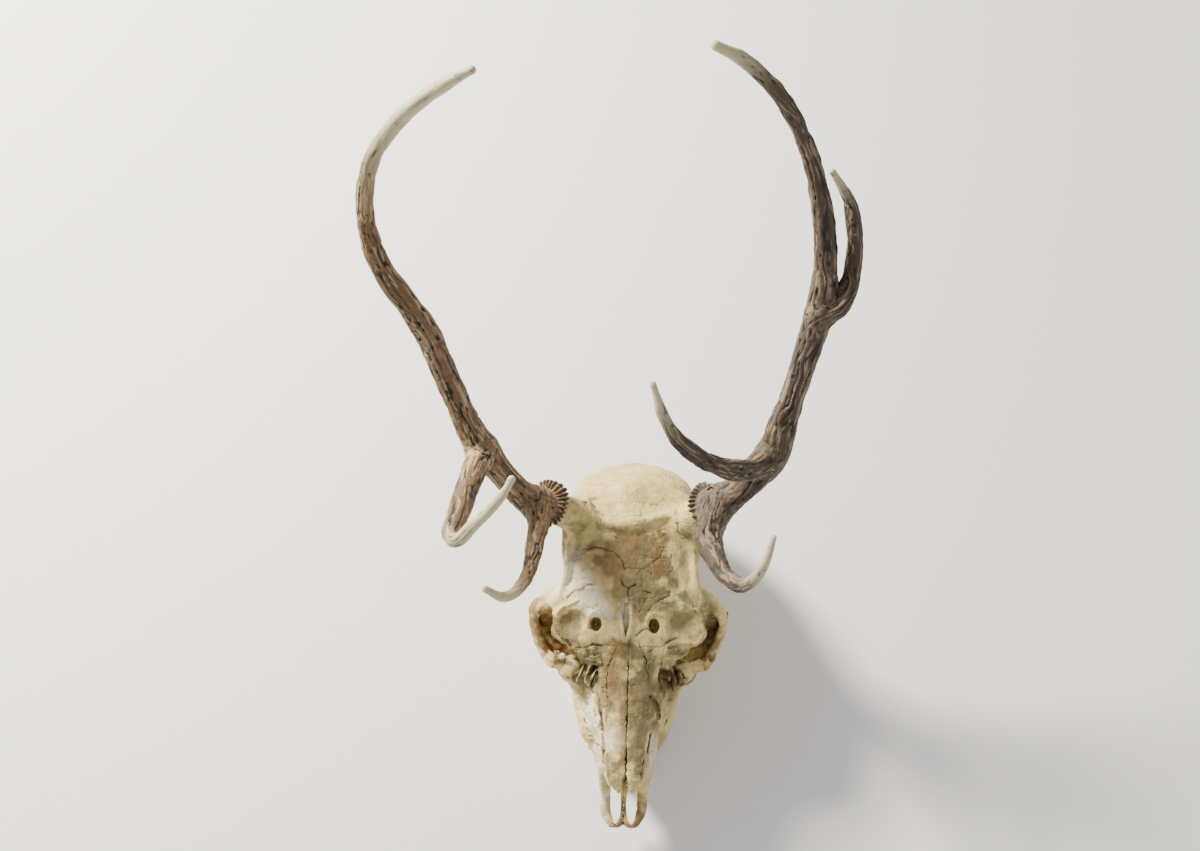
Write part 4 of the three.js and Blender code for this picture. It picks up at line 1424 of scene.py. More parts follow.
SEAM_GAP = 0.34
REAR = ("front", "frontal", "cheek")
PAIRED_BONES = (
    BonePlan("nasal_bone_{side}", "bone", ("nasal",), (), gap=SEAM_GAP),
    BonePlan("premaxilla_{side}", "bleached_bone", ("premaxilla",), ("nasal",), gap=SEAM_GAP),
    BonePlan("cheekbone_{side}", "bone", ("cheek",), ("frontal", "tear")),
    BonePlan(
        "upper_jaw_{side}", "bleached_bone", ("front",), ("nasal", "premaxilla", "frontal", "cheek", "tear")
    ),
    BonePlan("tear_bone_{side}", "bone", ("tear", "front"), ("nasal", "frontal"), "upper_jaw_{side}"),
    BonePlan("temple_bone_{side}", "bone", ("temple",), (*REAR, "occipital"), "braincase"),
)
MIDDLE_BONES = (
    BonePlan("frontal_bone", "bone", ("frontal",), ("nasal",)),
    BonePlan("parietal_dome", "bone", (), (*REAR, "occipital", "temple", "low"), "braincase"),
    BonePlan("occipital_bone", "bone", ("occipital",), REAR, "braincase"),
    BonePlan("skull_base", "bone", ("low",), (*REAR, "occipital", "temple"), "braincase"),
)


@dataclass
class SkullBones:
    """The bones of the skull, parted at their sutures.

    Attributes:
        overlap: How far each bone reaches under its neighbour at a closed suture.
        suture_wave: How far the sutures wander.
        room: How far a bone may reach past its CAD node's box.
        premaxilla_outline: The front of the snout from the side, in Y and Z.
        frontal_outline: The forehead from the side, in Y and Z.
        cheek_outline: The left cheekbone from above, in X and Y.
        tear_outline: The left tear bone from above, in X and Y.
    """

    overlap: float = 0.3
    suture_wave: float = 0.5
    room: float = 5.0
    premaxilla_outline: tuple[Flat, ...] = ((30, 10), (86, 10), (92, 40), (113, 76), (100, 110), (30, 110))
    frontal_outline: tuple[Flat, ...] = (
        (190, 200), (184, 124), (176, 112), (214, 106), (244, 112), (272, 124), (296, 128), (304, 200),
    )
    cheek_outline: tuple[Flat, ...] = ((44, 168), (46, 236), (53, 256), (53, 300), (130, 300), (130, 168))
    tear_outline: tuple[Flat, ...] = (
        (30, 186), (27, 171), (38, 160), (52, 158), (62, 176), (62, 196), (34, 196),
    )

    def build(self, solid: Field) -> list[Piece]:
        """Takes each bone out of the skull.

        Args:
            solid: The whole skull.

        Returns:
            The bones, with their relief and their painted values.
        """
        bones = [self._bone(solid, plan, side) for side in Side for plan in PAIRED_BONES]
        return bones + [self._bone(solid, plan, None) for plan in MIDDLE_BONES]

    def _outline(self, corners: tuple[Flat, ...], across: Array, up: Array) -> Array:
        """Gives the signed distance to an outline with straight edges.

        Args:
            corners: Its corners.
            across: Places along its first axis.
            up: Places along its second axis.

        Returns:
            The distances, negative inside.
        """
        nearest = np.full(np.broadcast_shapes(across.shape, up.shape), 1e9, np.float32)
        inside = np.zeros(nearest.shape, bool)
        for (x0, y0), (x1, y1) in zip(corners, corners[1:] + corners[:1]):
            dx, dy = x1 - x0, y1 - y0
            t = np.clip(((across - x0) * dx + (up - y0) * dy) / (dx * dx + dy * dy), 0.0, 1.0)
            far = (across - x0 - t * dx) ** 2 + (up - y0 - t * dy) ** 2
            nearest = np.minimum(nearest, far)
            if dy:
                crossing = x0 + (up - y0) / dy * dx
                inside ^= ((y0 > up) != (y1 > up)) & (across < crossing)
        return np.where(inside, -1.0, 1.0) * np.sqrt(nearest)

    def _regions(self, x: Array, y: Array, z: Array) -> dict[str, Array]:
        """Works out the signed distance to each region's border.

        Args:
            x: Coordinates along X.
            y: Coordinates along Y.
            z: Coordinates along Z.

        Returns:
            The distances by the region's name, negative inside it.
        """
        wave = self.suture_wave
        wx = x + wave * (0.8 * np.sin(0.9 * y + 0.4 * z) + 0.5 * np.sin(2.3 * y - 1.1 * z))
        wy = y + wave * (np.sin(0.8 * x + 0.3 * z) + 0.6 * np.sin(2.1 * x + 0.9 * z))
        aside = np.abs(wx)
        half = smooth_line(np.array([56.0, 72, 100, 140, 172, 188]), np.array([10.0, 11, 14.5, 17, 15, 7]), y)
        nasal = np.maximum(np.maximum(aside - half, nose_top(y) - 7.0 - z), wy - 187.5)
        plan_x, plan_y = x[:, :, 0], y[:, :, 0]
        cheek = self._outline(self.cheek_outline, np.abs(plan_x), plan_y)[:, :, None]
        tear = self._outline(self.tear_outline, np.abs(plan_x), plan_y)[:, :, None]
        return {
            "left": -wx,
            "nasal": nasal,
            "premaxilla": self._outline(self.premaxilla_outline, wy, z),
            "frontal": self._outline(self.frontal_outline, wy, z + 0.12 * np.maximum(aside - 40, 0)),
            "cheek": np.maximum(np.maximum(cheek, 44.0 - z), z - 106.0) + 0.0 * wy,
            "tear": np.maximum(tear, 86.0 - z) + 0.0 * wy,
            "front": wy - JAW_REAR,
            "occipital": 338.0 + 0.16 * (110.0 - z) - 0.0016 * x * x - wy,
            "temple": np.maximum(np.maximum(30.0 - aside, z - 102.0), 262.0 - wy),
            "low": z - 66.0 + 0.0 * wy,
        }

    def _bone(self, solid: Field, plan: BonePlan, side: Side | None) -> Piece:
        """Takes one bone out of the skull.

        Args:
            solid: The whole skull.
            plan: Which bone.
            side: Its side, if it is one of a pair.

        Returns:
            The bone.
        """
        word = side.word if side else ""
        name = plan.name.format(side=word)
        node = plan.node.format(side=word) or name
        low, high = (np.array(corner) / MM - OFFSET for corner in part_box(node))
        spans, x, y, z = solid.window(low - self.room, high + self.room)
        regions = self._regions(x, y, z)
        borders = [regions[each] for each in plan.inside] + [-regions[each] for each in plan.outside]
        if side:
            borders.append(side.value * regions["left"] + plan.gap)
        value = np.maximum(solid.value[spans], reduce(np.maximum, borders) - self.overlap)
        bone = Piece.taken(name, node, plan.slot, solid, spans, value)
        self._weather(bone, solid)
        return bone

    def _weather(self, bone: Piece, solid: Field) -> None:
        """Gives a bone its relief, paints shade into its hollows, and paints its cracks and patches.

        Args:
            bone: The bone.
            solid: The skull's grid.
        """
        points = bone.points
        normals = bone.normals()
        shade = solid.shade(points, normals, (2.5, 5.0, 9.0), 1.2)
        shake = Noise(11, 9.0, 3).at(points)
        wander = np.stack([Noise(12, 5.0, 2).at(points), Noise(13, 5.0, 2).at(points)], 1)
        crack = np.zeros(len(points))
        upward = smoothstep(normals[:, 2], 0.05, 0.4)
        fade = np.clip(0.75 + 0.7 * Noise(45, 6.0, 2).at(points), 0.1, 1.0)
        sunk = np.zeros(len(points))
        for each in CRACKS:
            near = each.closeness(points, 0.9 * wander) * upward * fade
            crack = np.maximum(crack, near)
            sunk = np.maximum(sunk, near * each.depth)
        bleach = self._paint(BLEACHED_AND_SUNLIT, points, shake)
        porous = np.clip(self._paint(patches(POROUS), points, shake) + 0.15 * bleach, 0.0, 1.0)
        pits = np.clip(Noise(14, 2.6, 2).at(points) - 0.25, 0.0, 1.0)
        streaks = Noise(15, 2.2, 2).at(points * np.array([1.0, 0.16, 0.6]))
        lumps = Noise(16, 16.0, 3).at(points)
        calm = 1.0 - 0.35 * smoothstep(points[:, 1], 285.0, 300.0)
        relief = 0.42 * calm * lumps + 0.1 * streaks - 1.5 * porous * pits - sunk
        relief -= 0.3 * np.clip(Noise(17, 1.9).at(points) - 0.45, 0, 1) * calm
        warp = points + 3.4 * np.stack([Noise(41, 9.0).at(points), Noise(42, 9.0).at(points), shake], 1)
        folds = Noise(43, 5.0).crests(warp, 2.6)
        wrinkles = Noise(44, 9.0).crests(warp * np.array([0.6, 1.5, 1.0]), 5.0)
        finer = Noise(47, 5.0).crests(warp * np.array([0.7, 1.6, 1.0]), 4.0)
        wrinkles = np.maximum(wrinkles, 0.8 * finer)
        creased = np.clip(0.45 + Noise(46, 22.0, 2).at(points), 0.0, 1.0)
        folded = self._paint(FOLDED, points, shake)
        relief += folded * (1.5 * folds - 0.6) - 0.6 * wrinkles * creased * calm
        crack = np.maximum(crack, 0.4 * wrinkles**3 * creased * upward * calm)
        bone.points = points + normals * relief[:, None]
        bone.marks = {
            "shade": np.clip(shade, 0.0, 1.0),
            "crack": np.clip(crack + porous * np.clip(pits * 2.0, 0, 1) * 0.7, 0.0, 1.0),
            "stain": self._paint(STAINS, points, shake),
            # Pale patches, partly bleached bone and partly painted sunlight.
            "bleach": bleach,
            "green": self._paint(GREENED_AND_SHADED, points, shake),
            # Darker patches, partly older bone and partly painted shade.
            "age": self._paint(AGED_AND_SHADOWED, points, shake) * (1.0 - 0.85 * bleach),
            "streak": 0.5 + 0.5 * np.clip(streaks, -1, 1),
        }

    @staticmethod
    def _paint(patches: tuple[Patch, ...], points: Array, shake: Array) -> Array:
        """Lays soft patches over one another.

        Args:
            patches: The patches.
            points: The points to paint.
            shake: Raggedness at each point.

        Returns:
            How strongly each point is painted, 0 to 1.
        """
        clear = np.ones(len(points))
        for patch in patches:
            clear *= 1.0 - np.clip(patch.at(points, shake), 0.0, 1.0)
        return 1.0 - clear


# ------------------------------------------------------------------ teeth


@dataclass(frozen=True)
class ToothKind:
    """One cheek tooth.

    Attributes:
        name: Its name.
        length: Its length along the row.
        width: Its width across the row.
        lobes: How many lobes it has.
    """

    name: str
    length: float
    width: float
    lobes: int


@dataclass
class CheekTeeth:
    """The two rows of six cheek teeth.

    Attributes:
        rear: Y of the rear end of the row.
        flat_from: Y behind which the chewing surface is level.
        slope: How fast the chewing surface climbs towards the nose.
        root: Level where the teeth end inside the jaw.
        kinds: The teeth from the rear.
    """

    rear: float = 190.0
    flat_from: float = 180.0
    slope: float = 0.114
    root: float = 27.0
    kinds: tuple[ToothKind, ...] = (
        ToothKind("molar_3", 17.5, 15.0, 2),
        ToothKind("molar_2", 17.5, 15.5, 2),
        ToothKind("molar_1", 15.5, 14.5, 2),
        ToothKind("premolar_4", 12.5, 12.5, 1),
        ToothKind("premolar_3", 12.5, 11.0, 1),
        ToothKind("premolar_2", 11.0, 9.0, 1),
    )

    @staticmethod
    def middle(y: float) -> float:
        """Gives X of the middle of the left row."""
        return 40.0 - 23.0 * max(0.0, (186.0 - y) / 84.0) ** 1.9

    def build(self) -> list[Piece]:
        """Makes every tooth.

        Returns:
            The twelve teeth.
        """
        teeth = []
        for side in Side:
            rear = self.rear
            for kind in self.kinds:
                teeth.append(self._tooth(kind, side, rear))
                rear -= kind.length
        return teeth

    def _wear(self, y: Array) -> Array:
        """Gives the level of the chewing surface along Y."""
        return np.maximum(0.0, (self.flat_from - y) * self.slope)

    def _tooth(self, kind: ToothKind, side: Side, rear: float) -> Piece:
        """Makes one tooth with its crescent-shaped hollows.

        Args:
            kind: Which tooth.
            side: Its side.
            rear: Y of its rear end.

        Returns:
            The tooth.
        """
        x = self.middle(rear - kind.length / 2)
        shift = self.middle(rear) - self.middle(rear - kind.length)
        turn = -math.degrees(math.atan2(shift, kind.length))
        middle = side.flip((x, rear - kind.length / 2, 14.0))
        half = max(kind.length, kind.width) / 2 + 3
        field_low = (middle[0] - half, middle[1] - half, -1.0)
        solid = Field(field_low, (middle[0] + half, middle[1] + half, 32.0), TOOTH_PITCH)
        pitch = kind.length / kind.lobes
        crown = float(self._wear(middle[1]))
        for lobe in range(kind.lobes):
            y = rear - (lobe + 0.5) * pitch
            mid = self.middle(y)
            for inward in (-0.16, 0.16):
                at = side.flip((mid - inward * kind.width, y, 16.0))
                column = Ovoid(at, (kind.width * 0.3, pitch * 0.54, 40.0), (0, 0, side.value * turn))
                solid.join(column, 1.0)
            rib = side.flip((mid + kind.width * 0.4, y - pitch * 0.12, 16.0))
            solid.join(Ovoid(rib, (1.2, 1.5, 40.0)), 1.2)
            for inward in (0.24, -0.14):
                start = mid - inward * kind.width
                crescent = side.route([
                    (start + 1.56 * math.cos(a), y + pitch * 0.3 * math.sin(a), crown - 0.4)
                    for a in (-1.3, -0.65, 0.0, 0.65, 1.3)
                ])
                solid.cut(Rod(crescent, taper(0.5, 1.05, 0.5), spacing=1.0), 0.5)
        spans, _, gy, gz = solid.window(solid.low, solid.low + 999.0)
        ends = np.maximum(self._wear(gy) - gz, gz - self.root)
        value = np.maximum(solid.value[spans], ends)
        jaw = f"upper_jaw_{side.word}"
        tooth = Piece.taken(f"{kind.name}_{side.word}", jaw, "bleached_bone", solid, spans, value)
        points, normals = tooth.points, tooth.normals()
        # Painted shade: how far each point lies in a hollow, to darken it in the finish.
        hollow = solid.shade(points, normals, (1.6,))
        chewed = smoothstep(-normals[:, 2], 0.4, 0.8)
        worn = np.clip(points[:, 2] - self._wear(points[:, 1]), 0.0, 30.0)
        tooth.marks = {"hollow": hollow, "chewed": chewed, "height": worn / 20.0}
        tooth.points = points + normals * (0.12 * Noise(21, 2.4, 2).at(points))[:, None]
        return tooth


# ------------------------------------------------------------------ antlers


@dataclass(frozen=True)
class Stem:
    """The beam or a tine of an antler.

    Attributes:
        points: The points its middle runs through.
        radii: Its radius along its length.
        pale_from: Share of its length where the polished pale tip begins.
        cuts: Where the beam is parted.
        seam: Where a crack runs round it, if one does.
    """

    points: tuple[Point, ...]
    radii: tuple[Flat, ...]
    pale_from: float = 0.6
    cuts: tuple[float, ...] = ()
    seam: float = -1.0


@dataclass(frozen=True)
class AntlerPlan:
    """One antler's course.

    Attributes:
        side: Its side.
        beam: Its beam.
        tines: Its tines by name.
        names: Names of the lengths of its beam, from the foot.
        burr: Middle of the ring at its foot.
        knots: Places where the beam is rough and swollen.
    """

    side: Side
    beam: Stem
    tines: dict[str, Stem]
    names: tuple[str, ...]
    burr: Point
    knots: tuple[Point, ...] = ()


LEFT_BEAM = Stem(
    (
        (59.5, 290, 169), (75.5, 296, 181), (91.5, 305, 196), (107, 318, 214), (115.5, 340, 241),
        (124.5, 368, 275), (133.5, 400, 313), (134.5, 428, 346), (127.5, 450, 378), (112, 474, 417),
        (90, 490.5, 452), (62, 499.5, 480), (37, 501, 497),
    ),
    (
        (0.0, 13.5), (0.1, 12.0), (0.19, 13.0), (0.3, 9.8), (0.45, 10.6), (0.55, 8.8), (0.8, 6.1),
        (0.94, 5.2), (1.0, 3.6),
    ),
    0.86,
    (0.2, 0.47),
)
LEFT_BROW = Stem(
    (
        (70, 293, 178), (61, 263, 186), (64.5, 240, 200), (71.5, 219.5, 219), (81.5, 207.5, 238),
        (90.5, 210, 258), (96, 220, 272), (100.5, 234, 284),
    ),
    ((0.0, 14.0), (0.2, 11.0), (0.5, 6.8), (0.8, 4.4), (1.0, 2.4)),
    0.62,
)
LEFT_TRAY = Stem(
    (
        (107.5, 321, 214), (87.5, 301, 236), (68, 293.5, 258), (47, 292.5, 281),
        (27.5, 299.5, 303), (16, 311, 322), (7.5, 328, 340),
    ),
    ((0.0, 11.0), (0.25, 8.8), (0.6, 6.6), (0.85, 4.4), (1.0, 2.4)),
    0.68,
)
LEFT_BACK = Stem(
    (
        (133, 396, 312), (147, 401, 321), (154, 413, 330), (156, 435, 345), (154, 447, 358),
        (148.5, 461, 372), (132, 475, 393),
    ),
    ((0.0, 8.5), (0.3, 6.8), (0.7, 5.8), (1.0, 2.6)),
    0.7,
)
RIGHT_BEAM = Stem(
    (
        (-66.5, 288.5, 169), (-86.5, 291, 182), (-106, 304.5, 203), (-127, 324, 230),
        (-142, 347, 261), (-161, 380, 298), (-174.5, 394.5, 318), (-190, 409, 340),
        (-201.5, 433, 372), (-195, 457.5, 410), (-168.5, 475.5, 444), (-133.5, 483, 474),
        (-116.5, 484.5, 486),
    ),
    (
        (0.0, 12.5), (0.1, 10.5), (0.2, 12.0), (0.3, 9.8), (0.42, 10.0), (0.57, 8.4), (0.65, 6.9),
        (0.8, 6.0), (0.94, 5.3), (1.0, 3.4),
    ),
    0.62,
    (0.215,),
)
RIGHT_BROW = Stem(
    (
        (-81, 290, 179), (-76, 269, 187), (-77.5, 250, 198), (-78.5, 231, 212), (-82, 211.5, 228),
        (-88.5, 196, 244), (-97, 189.5, 254), (-111, 192.5, 268),
    ),
    ((0.0, 11.5), (0.3, 7.4), (0.6, 5.6), (0.85, 4.2), (1.0, 2.6)),
    0.62,
)
RIGHT_TRAY = Stem(
    (
        (-121, 318, 220), (-127, 290, 236), (-132, 252, 262), (-135, 226, 282),
        (-128, 219.5, 295), (-118.5, 225.5, 305), (-105, 234.5, 320), (-94.5, 243, 332),
        (-87.5, 252.5, 342),
    ),
    ((0.0, 11.0), (0.25, 9.4), (0.5, 8.2), (0.6, 5.0), (0.85, 4.2), (1.0, 2.6)),
    0.5,
    seam=0.07,
)

LEFT_ANTLER = AntlerPlan(
    side=Side.LEFT,
    beam=LEFT_BEAM,
    tines={"brow_tine_left": LEFT_BROW, "tray_tine_left": LEFT_TRAY, "back_tine_left": LEFT_BACK},
    names=("antler_base_left", "antler_middle_left", "antler_top_left"),
    burr=(62.5, 293.5, 168),
    knots=((107, 322, 216), (133, 398, 312)),
)

RIGHT_ANTLER = AntlerPlan(
    side=Side.RIGHT,
    beam=RIGHT_BEAM,
    tines={"brow_tine_right": RIGHT_BROW, "tray_tine_right": RIGHT_TRAY},
    names=("antler_base_right", "antler_upper_right"),
    burr=(-69.5, 291.5, 169.5),
    knots=((-121, 318, 222), (-158, 374, 292)),
)


@dataclass(frozen=True)
class Burr:
    """The beaded ring at the foot of an antler.

    Attributes:
        centre: Its middle.
        axis: Where the antler grows.
        radius: Radius of its outer edge.
        beads: How many ridges it has.
        thick: Half its thickness.
    """

    centre: Point
    axis: Point
    radius: float = 20.2
    beads: int = 27
    thick: float = 5.2

    def reach(self) -> tuple[Array, Array]:
        """Gives the corners of the box that holds it."""
        return np.array(self.centre) - self.radius - 2, np.array(self.centre) + self.radius + 2

    def distance(self, x: Array, y: Array, z: Array) -> Array:
        """Gives the signed distance to its skin at crossed coordinates.

        Args:
            x: Coordinates along X.
            y: Coordinates along Y.
            z: Coordinates along Z.

        Returns:
            The distances, negative inside.
        """
        axis = np.array(self.axis, np.float32)
        first = np.cross(axis, (0.0, 0.0, 1.0))
        first /= np.linalg.norm(first)
        second = np.cross(axis, first)
        dx, dy, dz = x - self.centre[0], y - self.centre[1], z - self.centre[2]
        along = axis[0] * dx + axis[1] * dy + axis[2] * dz
        u = first[0] * dx + first[1] * dy + first[2] * dz
        v = second[0] * dx + second[1] * dy + second[2] * dz
        angle = np.arctan2(v, u)
        out = np.sqrt(u * u + v * v)
        wave = np.cos(self.beads * angle + 1.6 * np.sin(3 * angle) + 0.9 * np.sin(5 * angle + 1))
        notch = (0.5 - 0.5 * wave) * smoothstep(out, 8.0, 13.0)
        edge = self.radius + 0.8 * np.sin(4 * angle + 0.6) - 3.4 * notch
        size = np.sqrt((out / edge) ** 4 + (along / (self.thick * (1.0 - 0.6 * notch))) ** 4) ** 0.5
        return (size - 1.0) * self.thick


def rounded_off(stem: Stem) -> tuple[Point, ...]:
    """Gives a stem's points, drawn back at the tip by the radius of its round end.

    Args:
        stem: The beam or tine.

    Returns:
        The points.
    """
    last, before = np.array(stem.points[-1], float), np.array(stem.points[-2], float)
    back = (last - before) / np.linalg.norm(last - before) * (stem.radii[-1][1] + 0.4)
    return (*stem.points[:-1], tuple(last - back))


class AntlerShape:
    """Builds the pieces of one antler."""

    FORK = 7.0
    BURR_LEAN = (0.0, -0.25, 0.7)

    def __init__(self, plan: AntlerPlan) -> None:
        """Lays out the antler.

        Args:
            plan: Its course.
        """
        self.plan = plan
        self.stems = [plan.beam, *plan.tines.values()]
        self.routes = [Route(list(stem.points), 1.5) for stem in self.stems]
        facing = self.routes[0].heading(0.0) + np.array(self.BURR_LEAN)
        self.burr = Burr(plan.burr, tuple(facing / np.linalg.norm(facing)))

    def build(self) -> list[Piece]:
        """Makes every length and tine.

        Returns:
            The pieces.
        """
        pieces = []
        cuts = [0.0, *self.plan.beam.cuts, 1.0]
        for i, name in enumerate(self.plan.names):
            pieces.append(self._piece(name, "antler", 0, (cuts[i], cuts[i + 1])))
        for i, name in enumerate(self.plan.tines):
            pieces.append(self._piece(name, "tine", i + 1, (0.0, 1.0)))
        return pieces

    def _piece(self, name: str, slot: str, which: int, span: Flat) -> Piece:
        """Makes one length of the beam or one tine.

        Args:
            name: Its name.
            slot: Its material slot.
            which: Which stem it belongs to.
            span: The share of the stem that it covers.

        Returns:
            The piece.
        """
        low, high = (np.array(corner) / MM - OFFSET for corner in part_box(name))
        solid = Field(tuple(low - 3.0), tuple(high + 3.0), ANTLER_PITCH)
        spans, x, y, z = solid.window(low - 99, high + 99)
        own = Rod(rounded_off(self.stems[which]), self.stems[which].radii).distance(x, y, z)
        total = own
        rival = np.full_like(own, Field.FAR)
        for i, stem in enumerate(self.stems):
            if i != which:
                other = Rod(rounded_off(stem), stem.radii).distance(x, y, z)
                total = soft_min(total, other, self.FORK)
                rival = np.minimum(rival, other)
        solid.value = total
        solid.join(self.burr, 2.2)
        total = np.maximum(solid.value, (own - rival) * 0.5 - 0.4)
        if which == 0:
            total = np.maximum(total, self._ends(span, x, y, z))
        piece = Piece.taken(name, name, slot, solid, spans, total)
        self._weather(piece, solid)
        return piece

    def _ends(self, span: Flat, x: Array, y: Array, z: Array) -> Array:
        """Gives the signed distance past the ends of a length of the beam.

        Args:
            span: The share of the beam that the length covers.
            x: Coordinates along X.
            y: Coordinates along Y.
            z: Coordinates along Z.

        Returns:
            The distances, negative between the ends.
        """
        route = self.routes[0]
        beyond = np.full(np.broadcast_shapes(x.shape, y.shape, z.shape), -Field.FAR, np.float32)
        for share, sign in zip(span, (-1.0, 1.0)):
            if 0.0 < share < 1.0:
                at, way = route.at(share), route.heading(share)
                plane = way[0] * (x - at[0]) + way[1] * (y - at[1]) + way[2] * (z - at[2])
                beyond = np.maximum(beyond, sign * plane - 0.3)
        return beyond

    def _weather(self, piece: Piece, solid: Field) -> None:
        """Gives a piece its furrows, beads and pits, paints them, and paints shade into its hollows.

        Args:
            piece: The piece.
            solid: The grid that it came from.
        """
        points = piece.points
        normals = piece.normals()
        weights, layers = [], []
        for number, (stem, route) in enumerate(zip(self.stems, self.routes)):
            away, share, grain = self._follow(route, points)
            radius = Profile(stem.radii).at(share)
            weights.append(np.exp(-np.clip(away - radius, -8.0, 12.0) / 1.6))
            tip = smoothstep(share, stem.pale_from, min(1.0, stem.pale_from + 0.28))
            relief, dark, streak = self._grain(grain + 100.0 * number, tip, points)
            if stem.seam > 0.0:
                wander = 1.6 * Noise(39, 6.0, 2).at(points)
                past = np.abs(grain[:, 2] - stem.seam * route.length + wander)
                open_crack = np.clip(1.4 - past / 0.6, 0.0, 1.0)
                relief, dark = relief - 1.2 * open_crack, dark + 1.5 * open_crack
                streak = np.maximum(streak, 1.0 - smoothstep(past, 2.0, 7.0))
            layers.append((relief, dark, tip, streak))
        shares = [weight / np.sum(weights, 0) for weight in weights]
        relief, dark, tip, streak = (
            np.sum([share * each for share, each in zip(shares, layer)], 0) for layer in zip(*layers)
        )
        off = points - np.array(self.burr.centre)
        from_foot = np.linalg.norm(off, axis=1)
        above = np.abs(off @ np.array(self.burr.axis))
        burr = (1.0 - smoothstep(from_foot, 20.0, 24.0)) * (1.0 - smoothstep(above, 5.5, 9.0))
        relief *= 1.0 - 0.75 * burr
        rough = np.exp(-((from_foot / 48.0) ** 2)) * (1.0 - burr)
        for knot in self.plan.knots:
            from_knot = np.linalg.norm(points - np.array(knot), axis=1)
            rough = np.maximum(rough, np.exp(-((from_knot / 19.0) ** 2)))
        pearls = Pebbles(31, 4.4).at(points)
        relief += rough * 0.85 * (pearls - 0.3)
        shade = solid.shade(points, normals, (1.6, 4.0))
        piece.points = points + normals * relief[:, None]
        piece.marks = {
            "furrow": np.clip(dark * (1 - 0.6 * burr), 0.0, 1.0),
            "pale": np.clip(tip, 0.0, 1.0),
            "streak": np.clip(streak, 0.0, 1.0),
            "pearl": rough * pearls,
            "shade": np.clip(shade, 0.0, 1.0),
            "burr": burr,
            "patch": 0.5 + 0.5 * np.clip(Noise(32, 26.0, 2).at(points), -1, 1),
        }

    @staticmethod
    def _follow(route: Route, points: Array) -> tuple[Array, Array, Array]:
        """Finds where points lie along a stem.

        Args:
            route: The stem's middle.
            points: The points.

        Returns:
            How far each is from the middle, its share of the length, and its place across and
            along the stem.
        """
        nearest = np.zeros(len(points), int)
        for start in range(0, len(points), 20000):
            chunk = points[start : start + 20000].astype(np.float32)
            spots = route.points.astype(np.float32)
            far = (chunk**2).sum(1)[:, None] + (spots**2).sum(1)[None] - 2 * chunk @ spots.T
            nearest[start : start + 20000] = far.argmin(1)
        offset = points - route.points[nearest]
        along = np.einsum("ij,ij->i", offset, route.tangents[nearest])
        side, up = route.frames()
        u = np.einsum("ij,ij->i", offset, side[nearest])
        v = np.einsum("ij,ij->i", offset, up[nearest])
        walked = route.walked[nearest] + along
        away = np.sqrt(u * u + v * v + np.clip(np.abs(along) - 1.5, 0, None) ** 2)
        return away, np.clip(walked / route.length, 0.0, 1.0), np.stack([u, v, walked], 1)

    @staticmethod
    def _grain(grain: Array, tip: Array, points: Array) -> tuple[Array, Array, Array]:
        """Works out the lengthwise furrows of a stem.

        Args:
            grain: Place across and along the stem.
            tip: How far the point is into the polished tip.
            points: Places in the skull's frame.

        Returns:
            The height of the surface, how dark it is, and how worn pale it is between furrows.
        """
        bend = Noise(33, 14.0, 2).at(grain * np.array([1.0, 1.0, 0.5]))
        swirl = grain + bend[:, None] * np.array([2.4, 1.8, 0.0])
        broad = Noise(34, 3.9).crests(swirl * np.array([1.0, 1.0, 0.1]), 3.2)
        fine = Noise(35, 1.9).crests(swirl * np.array([1.0, 1.0, 0.13]), 2.6)
        lumps = Noise(36, 11.0, 2).at(points)
        dashes = np.clip(Noise(37, 2.4).at(grain * np.array([1.0, 1.0, 0.4])) - 0.45, 0.0, 1.0)
        strength = 1.0 - 0.86 * tip
        height = 0.45 * lumps * (1 - 0.5 * tip) - strength * (1.0 * broad**1.5 + 0.4 * fine)
        height -= 1.1 * dashes * (0.35 + 0.65 * strength)
        dark = strength * (0.6 * broad + 0.5 * fine) + dashes * 1.0
        streak = smoothstep(Noise(38, 1.5, 2).at(swirl * np.array([1.0, 1.0, 0.08])), -0.2, 1.0)
        return height, dark, streak


# ------------------------------------------------------------------ finishes


def paint(red: int, green: int, blue: int) -> tuple[float, float, float, float]:
    """Turns a screen colour of 0 to 255 into the shader's linear colour."""
    return (*(((c / 255 + 0.055) / 1.055) ** 2.4 if c > 10 else c / 3294.6 for c in (red, green, blue)), 1.0)


class Wire:
    """An output socket that takes part in sums written as Python expressions."""

    def __init__(self, tree: bpy.types.NodeTree, socket: bpy.types.NodeSocket) -> None:
        """Wraps a socket.

        Args:
            tree: The node tree it is in.
            socket: The socket.
        """
        self.tree = tree
        self.socket = socket

    def _math(self, operation: str, first: object, second: object) -> "Wire":
        """Adds a Math node.

        Args:
            operation: The node's operation.
            first: The first value or wire.
            second: The second value or wire.

        Returns:
            The node's output.
        """
        node = self.tree.nodes.new("ShaderNodeMath")
        node.operation = operation
        for socket, value in zip(node.inputs, (first, second)):
            if isinstance(value, Wire):
                self.tree.links.new(value.socket, socket)
            else:
                socket.default_value = float(value)
        return Wire(self.tree, node.outputs[0])

    def __add__(self, other: object) -> "Wire":
        """Adds a value or a wire."""
        return self._math("ADD", self, other)

    __radd__ = __add__

    def __mul__(self, other: object) -> "Wire":
        """Multiplies by a value or a wire."""
        return self._math("MULTIPLY", self, other)

    __rmul__ = __mul__

    def __sub__(self, other: object) -> "Wire":
        """Takes away a value or a wire."""
        return self._math("SUBTRACT", self, other)

    def __rsub__(self, other: object) -> "Wire":
        """Is taken away from a value."""
        return self._math("SUBTRACT", other, self)

    def least(self, other: object) -> "Wire":
        """Takes the smaller."""
        return self._math("MINIMUM", self, other)


